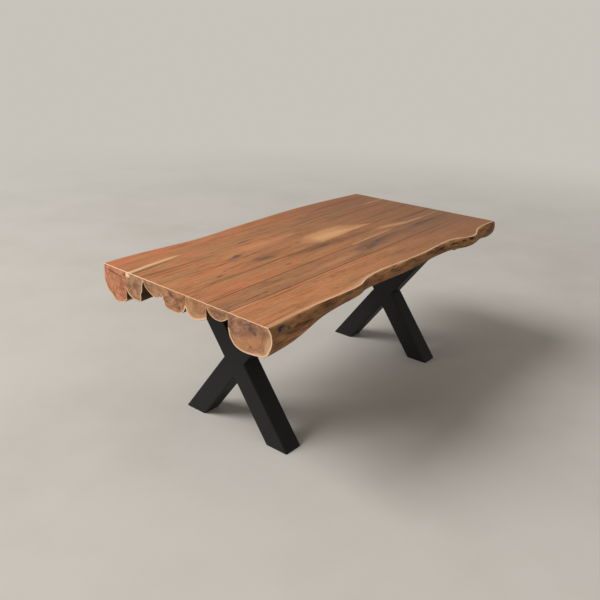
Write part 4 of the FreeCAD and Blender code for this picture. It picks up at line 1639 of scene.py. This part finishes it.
        Streak(((-1000, -496, 5, 0.3), (-860, -490, 9, 0.6), (-720, -485, 11, 0.7),
            (-560, -488, 11, 0.7), (-440, -484, 14, 0.7), (-400, -476, 15, 0.7),
            (-340, -456, 12, 0.6), (-280, -444, 9, 0.5), (-120, -444, 6, 0.4),
            (100, -444, 4, 0.0)), tone(222, 170, 126), 1.0, 0.8),
        Streak(((-545, -318, 2, 0.0), (-505, -324, 8, 0.6), (-480, -328, 2, 0.0)),
            UMBER, 0.9, 1.0),
        Streak(((-430, -334, 2, 0.0), (-400, -338, 7, 0.65), (-372, -342, 2, 0.0)),
            UMBER, 0.9, 1.0),
        Streak(((-500, -416, 2, 0.0), (-470, -418, 8, 0.5), (-440, -420, 2, 0.0)),
            UMBER, 0.9, 1.0),
        Streak(((-665, -298, 2, 0.0), (-638, -294, 5, 0.9), (-600, -290, 2, 0.0)),
            UMBER, 0.5, 0.7),
        Streak(((-1000, -482, 4, 0.6), (-900, -476, 5, 0.6), (-800, -468, 3, 0.0)),
            UMBER, 0.9, 0.8),
        Streak(((-40, -375, 2, 0.0), (50, -362, 12, 0.6), (110, -358, 16, 0.7),
            (170, -356, 5, 0.5), (260, -352, 2, 0.0)), tone(132, 92, 64), 0.9, 1.0),
        Streak(((560, -430, 4, 0.0), (620, -438, 16, 0.4), (690, -430, 14, 0.4),
            (740, -426, 4, 0.0)), tone(168, 96, 68), 1.1, 1.0),
        Streak(((300, -300, 2, 0.0), (500, -296, 14, 0.6), (800, -280, 16, 0.6),
            (1000, -270, 10, 0.5)), tone(128, 92, 70), 0.9, 1.0)),
        tone(188, 140, 106), tone(152, 108, 80), tone(104, 70, 52), (
        on_end(-400, 688, 120, 34, tone(192, 132, 88), 0.6, -0.36, 0.7),
        on_end(-420, 749, 13, 15, tone(84, 56, 48), 0.85),
        on_end(-414, 763, 5, 5, tone(60, 38, 34), 0.85),
        on_end(-436, 765, 26, 5, tone(150, 106, 84), 0.5),
        on_end(-486, 735, 3, 34, tone(122, 78, 60), 0.55, 0.3),
        on_end(-470, 735, 2.5, 26, tone(122, 78, 60), 0.45, 0.3),
        on_end(-404, 738, 60, 30, tone(124, 90, 68), 0.35),
        on_end(-508, 700, 15, 50, tone(210, 162, 124), 0.75, 0.22, 0.7),
        on_end(-470, 660, 50, 12, tone(212, 164, 126), 0.7, -0.14, 0.7),
        on_end(-444, 737, 12, 8, tone(84, 56, 44), 0.7, 0.5),
        on_end(-398, 760, 14, 6, tone(96, 66, 50), 0.6, -0.4),
        on_end(-420, 676, 6, 5, tone(96, 58, 42), 0.7),
        on_end(-478, 720, 4, 40, tone(150, 84, 62), 0.6, 0.25),
        on_end(-382, 712, 50, 2.5, tone(138, 84, 66), 0.6, -0.45)),
        (
        on_round(-938, -526, 760, 40, 17, tone(112, 96, 84), 0.7, 0.8),
        on_round(-944, -526, 768, 26, 5.5, BLACK_KNOT, 0.9, 0.9),
        on_round(-957, -526, 762, 12, 6, BLACK_KNOT, 0.9, 0.8),
        on_round(-905, -526, 756, 12, 7, tone(74, 60, 52), 0.8, 0.7),
        on_round(-850, -520, 748, 50, 6, tone(78, 54, 34), 0.7, 0.9),
        on_round(-786, -512, 744, 34, 5, tone(66, 44, 30), 0.7, 0.8),
        on_round(-700, -505, 728, 60, 8, tone(70, 48, 32), 0.6, 0.9),
        on_round(-560, -500, 720, 110, 9, tone(66, 45, 30), 0.6, 0.9),
        on_round(-480, -500, 752, 80, 6, tone(150, 112, 66), 0.6, 0.9),
        on_round(-60, -460, 750, 120, 14, tone(150, 108, 66), 0.5, 0.9),
        on_round(614, -490, 770, 20, 7, BLACK_KNOT, 0.95, 0.5),
        on_round(560, -478, 766, 20, 5, tone(64, 42, 28), 0.8, 0.7),
        on_round(485, -470, 763, 46, 5, BLACK_KNOT, 0.9, 0.6),
        on_round(352, -462, 764, 34, 5, BLACK_KNOT, 0.85, 0.7),
        on_round(290, -462, 757, 30, 5, tone(60, 40, 28), 0.8, 0.7),
        on_round(420, -468, 748, 90, 5, tone(84, 58, 38), 0.6, 0.9)),
        round_tones=BARE_ROUND, end_rim=0.009, end_rings=0.22),
)


# -------------------- the table
@dataclass
class Top:
    """Seven boards edge to edge, with the seats for the steel cut in their undersides."""
    seat_clearance: float = 0.002
    groove_clearance: float = 0.0005
    channel_wall: float = 0.004
    seat_reach: float = 0.3                # how far the cutters reach down from the seats' roof
    groove_reach: float = 0.03             # likewise, of the grooves' cutters

    def build(self) -> List[Thing]:
        """Builds and dresses every board.

        Returns:
            The boards, from the back forward.
        """
        cutters = self._cutters()
        arris = EasedEdgeHighlight().material()
        sawn = SawnSide().material()
        boards = []
        for number, look in enumerate(LOOKS):
            board = Board(number, look.finishes(LOGS[number].node, arris, sawn))
            made = board.build()
            board.cut_seats(made, cutters)
            boards.append(board.dress(made))
            LOG.info("%s: %d faces", made.name, len(made.data.polygons))
        for cutter in cutters:
            bpy.data.objects.remove(cutter)
        return boards

    def _cutters(self) -> List[Thing]:
        """Boxes that fill the seats of both plates and the channel.

        Returns:
            Three seats and the two grooves of the channel's flanges.
        """
        room, tight = self.seat_clearance, self.groove_clearance
        made = []
        for name in ("left_top_plate", "right_top_plate", "middle_channel"):
            low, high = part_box(name)
            made.append(self._block(
                name + "_seat",
                Vector((low.x - room, low.y - room, SEAT_LEVEL - self.seat_reach)),
                Vector((high.x + room, high.y + room, SEAT_LEVEL))))
        low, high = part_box("middle_channel")
        for side, edge in (("left", low.x), ("right", high.x - self.channel_wall)):
            made.append(self._block(
                side + "_groove",
                Vector((edge - tight, low.y - room, SEAT_LEVEL - self.groove_reach)),
                Vector((edge + self.channel_wall + tight, high.y + room, high.z + tight))))
        return made

    @staticmethod
    def _block(name: str, low: Vector, high: Vector) -> Thing:
        """A box to cut with.

        Args:
            name: Its name.
            low: Its lowest corner.
            high: Its highest corner.

        Returns:
            The box, hidden from the camera.
        """
        corners = [(x, y, z) for x in (low.x, high.x) for y in (low.y, high.y)
                   for z in (low.z, high.z)]
        faces = [(0, 1, 3, 2), (4, 6, 7, 5), (0, 4, 5, 1), (2, 3, 7, 6), (0, 2, 6, 4),
                 (1, 5, 7, 3)]
        made = new_object(name, np.array(corners), faces)
        made.data.polygons.foreach_set("material_index", [Face.SAWN.value] * len(faces))
        for _ in Face:
            made.data.materials.append(None)
        made.hide_render = True
        return made


@dataclass(frozen=True)
class Steelwork:
    """The frames, plates, channel, screws, pads and dowels, kept as the solids are."""
    coat: TwoTone = POWDER_COAT
    zinc: TwoTone = BRIGHT_ZINC
    rubber: TwoTone = FOOT_RUBBER
    dowel: TwoTone = DOWEL_WOOD

    def dress(self) -> None:
        """Gives every node but the boards its finish, by a word in its name."""
        zinc = self.zinc.material()
        finishes = {"screws": zinc, "washers": zinc, "pad": self.rubber.material(),
                    "dowels": self.dowel.material(), "": self.coat.material()}
        for name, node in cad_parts.items():
            if not name.startswith("board"):
                word = next(word for word in finishes if word in name)
                self._give(node, finishes[word])
                LOG.info("%s: %s", name, finishes[word].name)

    @staticmethod
    def _give(node: Thing, finish: Material) -> None:
        """Puts one finish in every slot of a node.

        Args:
            node: The node.
            finish: Its finish.
        """
        if not node.data.materials:
            node.data.materials.append(finish)
        for place in range(len(node.data.materials)):
            node.data.materials[place] = finish


# -------------------- studio
@dataclass(frozen=True)
class Lamp:
    """A soft round lamp: where it hangs, what it points at, its width and its watts."""
    name: str
    place: Point
    aim: Point
    width: float
    power: float

    def hang(self) -> None:
        """Adds the lamp to the scene."""
        data = bpy.data.lights.new(self.name, "AREA")
        data.shape = "DISK"
        data.size = self.width
        data.energy = self.power
        lamp = bpy.data.objects.new(self.name, data)
        bpy.context.scene.collection.objects.link(lamp)
        lamp.location = self.place
        facing = Vector(self.aim) - Vector(self.place)
        lamp.rotation_euler = facing.to_track_quat("-Z", "Y").to_euler()
        LOG.info("lamp %s: %.0f W", self.name, self.power)


@dataclass(frozen=True)
class Studio:
    """Camera, floor, backdrop and lights."""
    lens: float = 40.767
    sensor: float = 36.0
    clip: Pair = (0.05, 60.0)
    azimuth: float = math.radians(-51.21)
    elevation: float = math.radians(21.38)
    roll: float = math.radians(1.84)
    stand: Point = (-2.63532, -1.95824, 1.74352)     # from the middle of the frames
    floor_colour: Colour = tone(210, 205, 197)
    floor_shade: Colour = tone(201, 196, 187)
    floor_rings: Tuple[float, ...] = (1.5, 3.0, 5.0, 9.0)
    floor_steps: int = 72
    fade: Pair = (8.5, 2.6)                          # floor gone and floor whole, from the middle
    backdrop: Colour = tone(199, 195, 187)
    glow: Colour = tone(204, 200, 194)
    glow_strength: float = 0.45
    lamps: Tuple[Lamp, ...] = (
        Lamp("key", (-12.8, 10.4, 14.6), (0.0, 0.0, 0.6), 12.8, 4290.0),
        Lamp("front_fill", (-12.0, -14.4, 8.0), (0.0, 0.0, 0.5), 12.0, 340.0))

    def place_camera(self) -> None:
        """Sets up the camera."""
        data = bpy.data.cameras.new("camera")
        data.lens = self.lens
        data.sensor_width = self.sensor
        data.sensor_fit = "HORIZONTAL"
        data.clip_start, data.clip_end = self.clip
        camera = bpy.data.objects.new("camera", data)
        bpy.context.scene.collection.objects.link(camera)
        turn, rise, roll = self.azimuth, self.elevation, self.roll
        back = Vector((math.sin(turn) * math.cos(rise), -math.cos(turn) * math.cos(rise),
                       math.sin(rise)))
        right = Vector((math.cos(turn), math.sin(turn), 0.0))
        upward = back.cross(right)
        level = right * math.cos(roll) + upward * math.sin(roll)
        upward = upward * math.cos(roll) - right * math.sin(roll)
        turned = Matrix((level, upward, back)).transposed().to_4x4()
        camera.matrix_world = Matrix.Translation(Vector(self.stand) + FRAMES_MIDDLE) @ turned
        bpy.context.scene.camera = camera
        LOG.info("camera: %.1f mm lens", self.lens)

    def build_floor(self) -> None:
        """Lays a round floor that fades into the backdrop."""
        count = self.floor_steps
        points = [(0.0, 0.0, 0.0)]
        faces = []
        for ring, reach in enumerate(self.floor_rings):
            outer = 1 + ring * count
            inner = outer - count
            for step in range(count):
                angle = 2 * math.pi * step / count
                points.append((reach * math.cos(angle), reach * math.sin(angle), 0.0))
                after = (step + 1) % count
                rim = (outer + step, outer + after)
                faces.append((inner + step, *rim, inner + after) if ring else (0, *rim))
        floor = new_object("studio_floor", np.array(points), faces)
        floor.data.materials.append(self._floor_finish())
        LOG.info("%s: %d faces", floor.name, len(faces))

    def _floor_finish(self) -> Material:
        """Plain pale floor, clear towards its rim.

        Returns:
            The material.
        """
        graph = Graph("studio_floor")
        soft = graph.cloud(graph.place, (1.1, 1.1, 1.1), 4.0, 0.6)
        colour = graph.blend(self.floor_colour, self.floor_shade, soft.rise(0.35, 0.75))
        away = graph.length(graph.place)
        return graph.finish(Base_Color=colour, Roughness=0.75, Alpha=away.rise(*self.fade))

    def light(self) -> None:
        """Hangs the lamps and sets the world, which the camera sees as a plain backdrop."""
        for lamp in self.lamps:
            lamp.hang()
        world = bpy.data.worlds.new("studio")
        world.use_nodes = True
        nodes, links = world.node_tree.nodes, world.node_tree.links
        glow = nodes["Background"]
        glow.inputs["Color"].default_value = self.glow
        glow.inputs["Strength"].default_value = self.glow_strength
        far = nodes.new("ShaderNodeBackground")
        far.inputs["Color"].default_value = self.backdrop
        path = nodes.new("ShaderNodeLightPath")
        mixed = nodes.new("ShaderNodeMixShader")
        links.new(path.outputs["Is Camera Ray"], mixed.inputs[0])
        links.new(glow.outputs[0], mixed.inputs[1])
        links.new(far.outputs[0], mixed.inputs[2])
        links.new(mixed.outputs[0], nodes["World Output"].inputs["Surface"])
        bpy.context.scene.world = world


def main() -> None:
    """Builds the table and its studio."""
    logging.basicConfig(level=logging.INFO, format="%(name)s: %(message)s")
    bpy.context.scene.view_settings.view_transform = "Standard"
    studio = Studio()
    studio.place_camera()
    studio.build_floor()
    studio.light()
    Top().build()
    Steelwork().dress()
    LOG.info("table: ready")


if __name__ == "__main__":
    main()
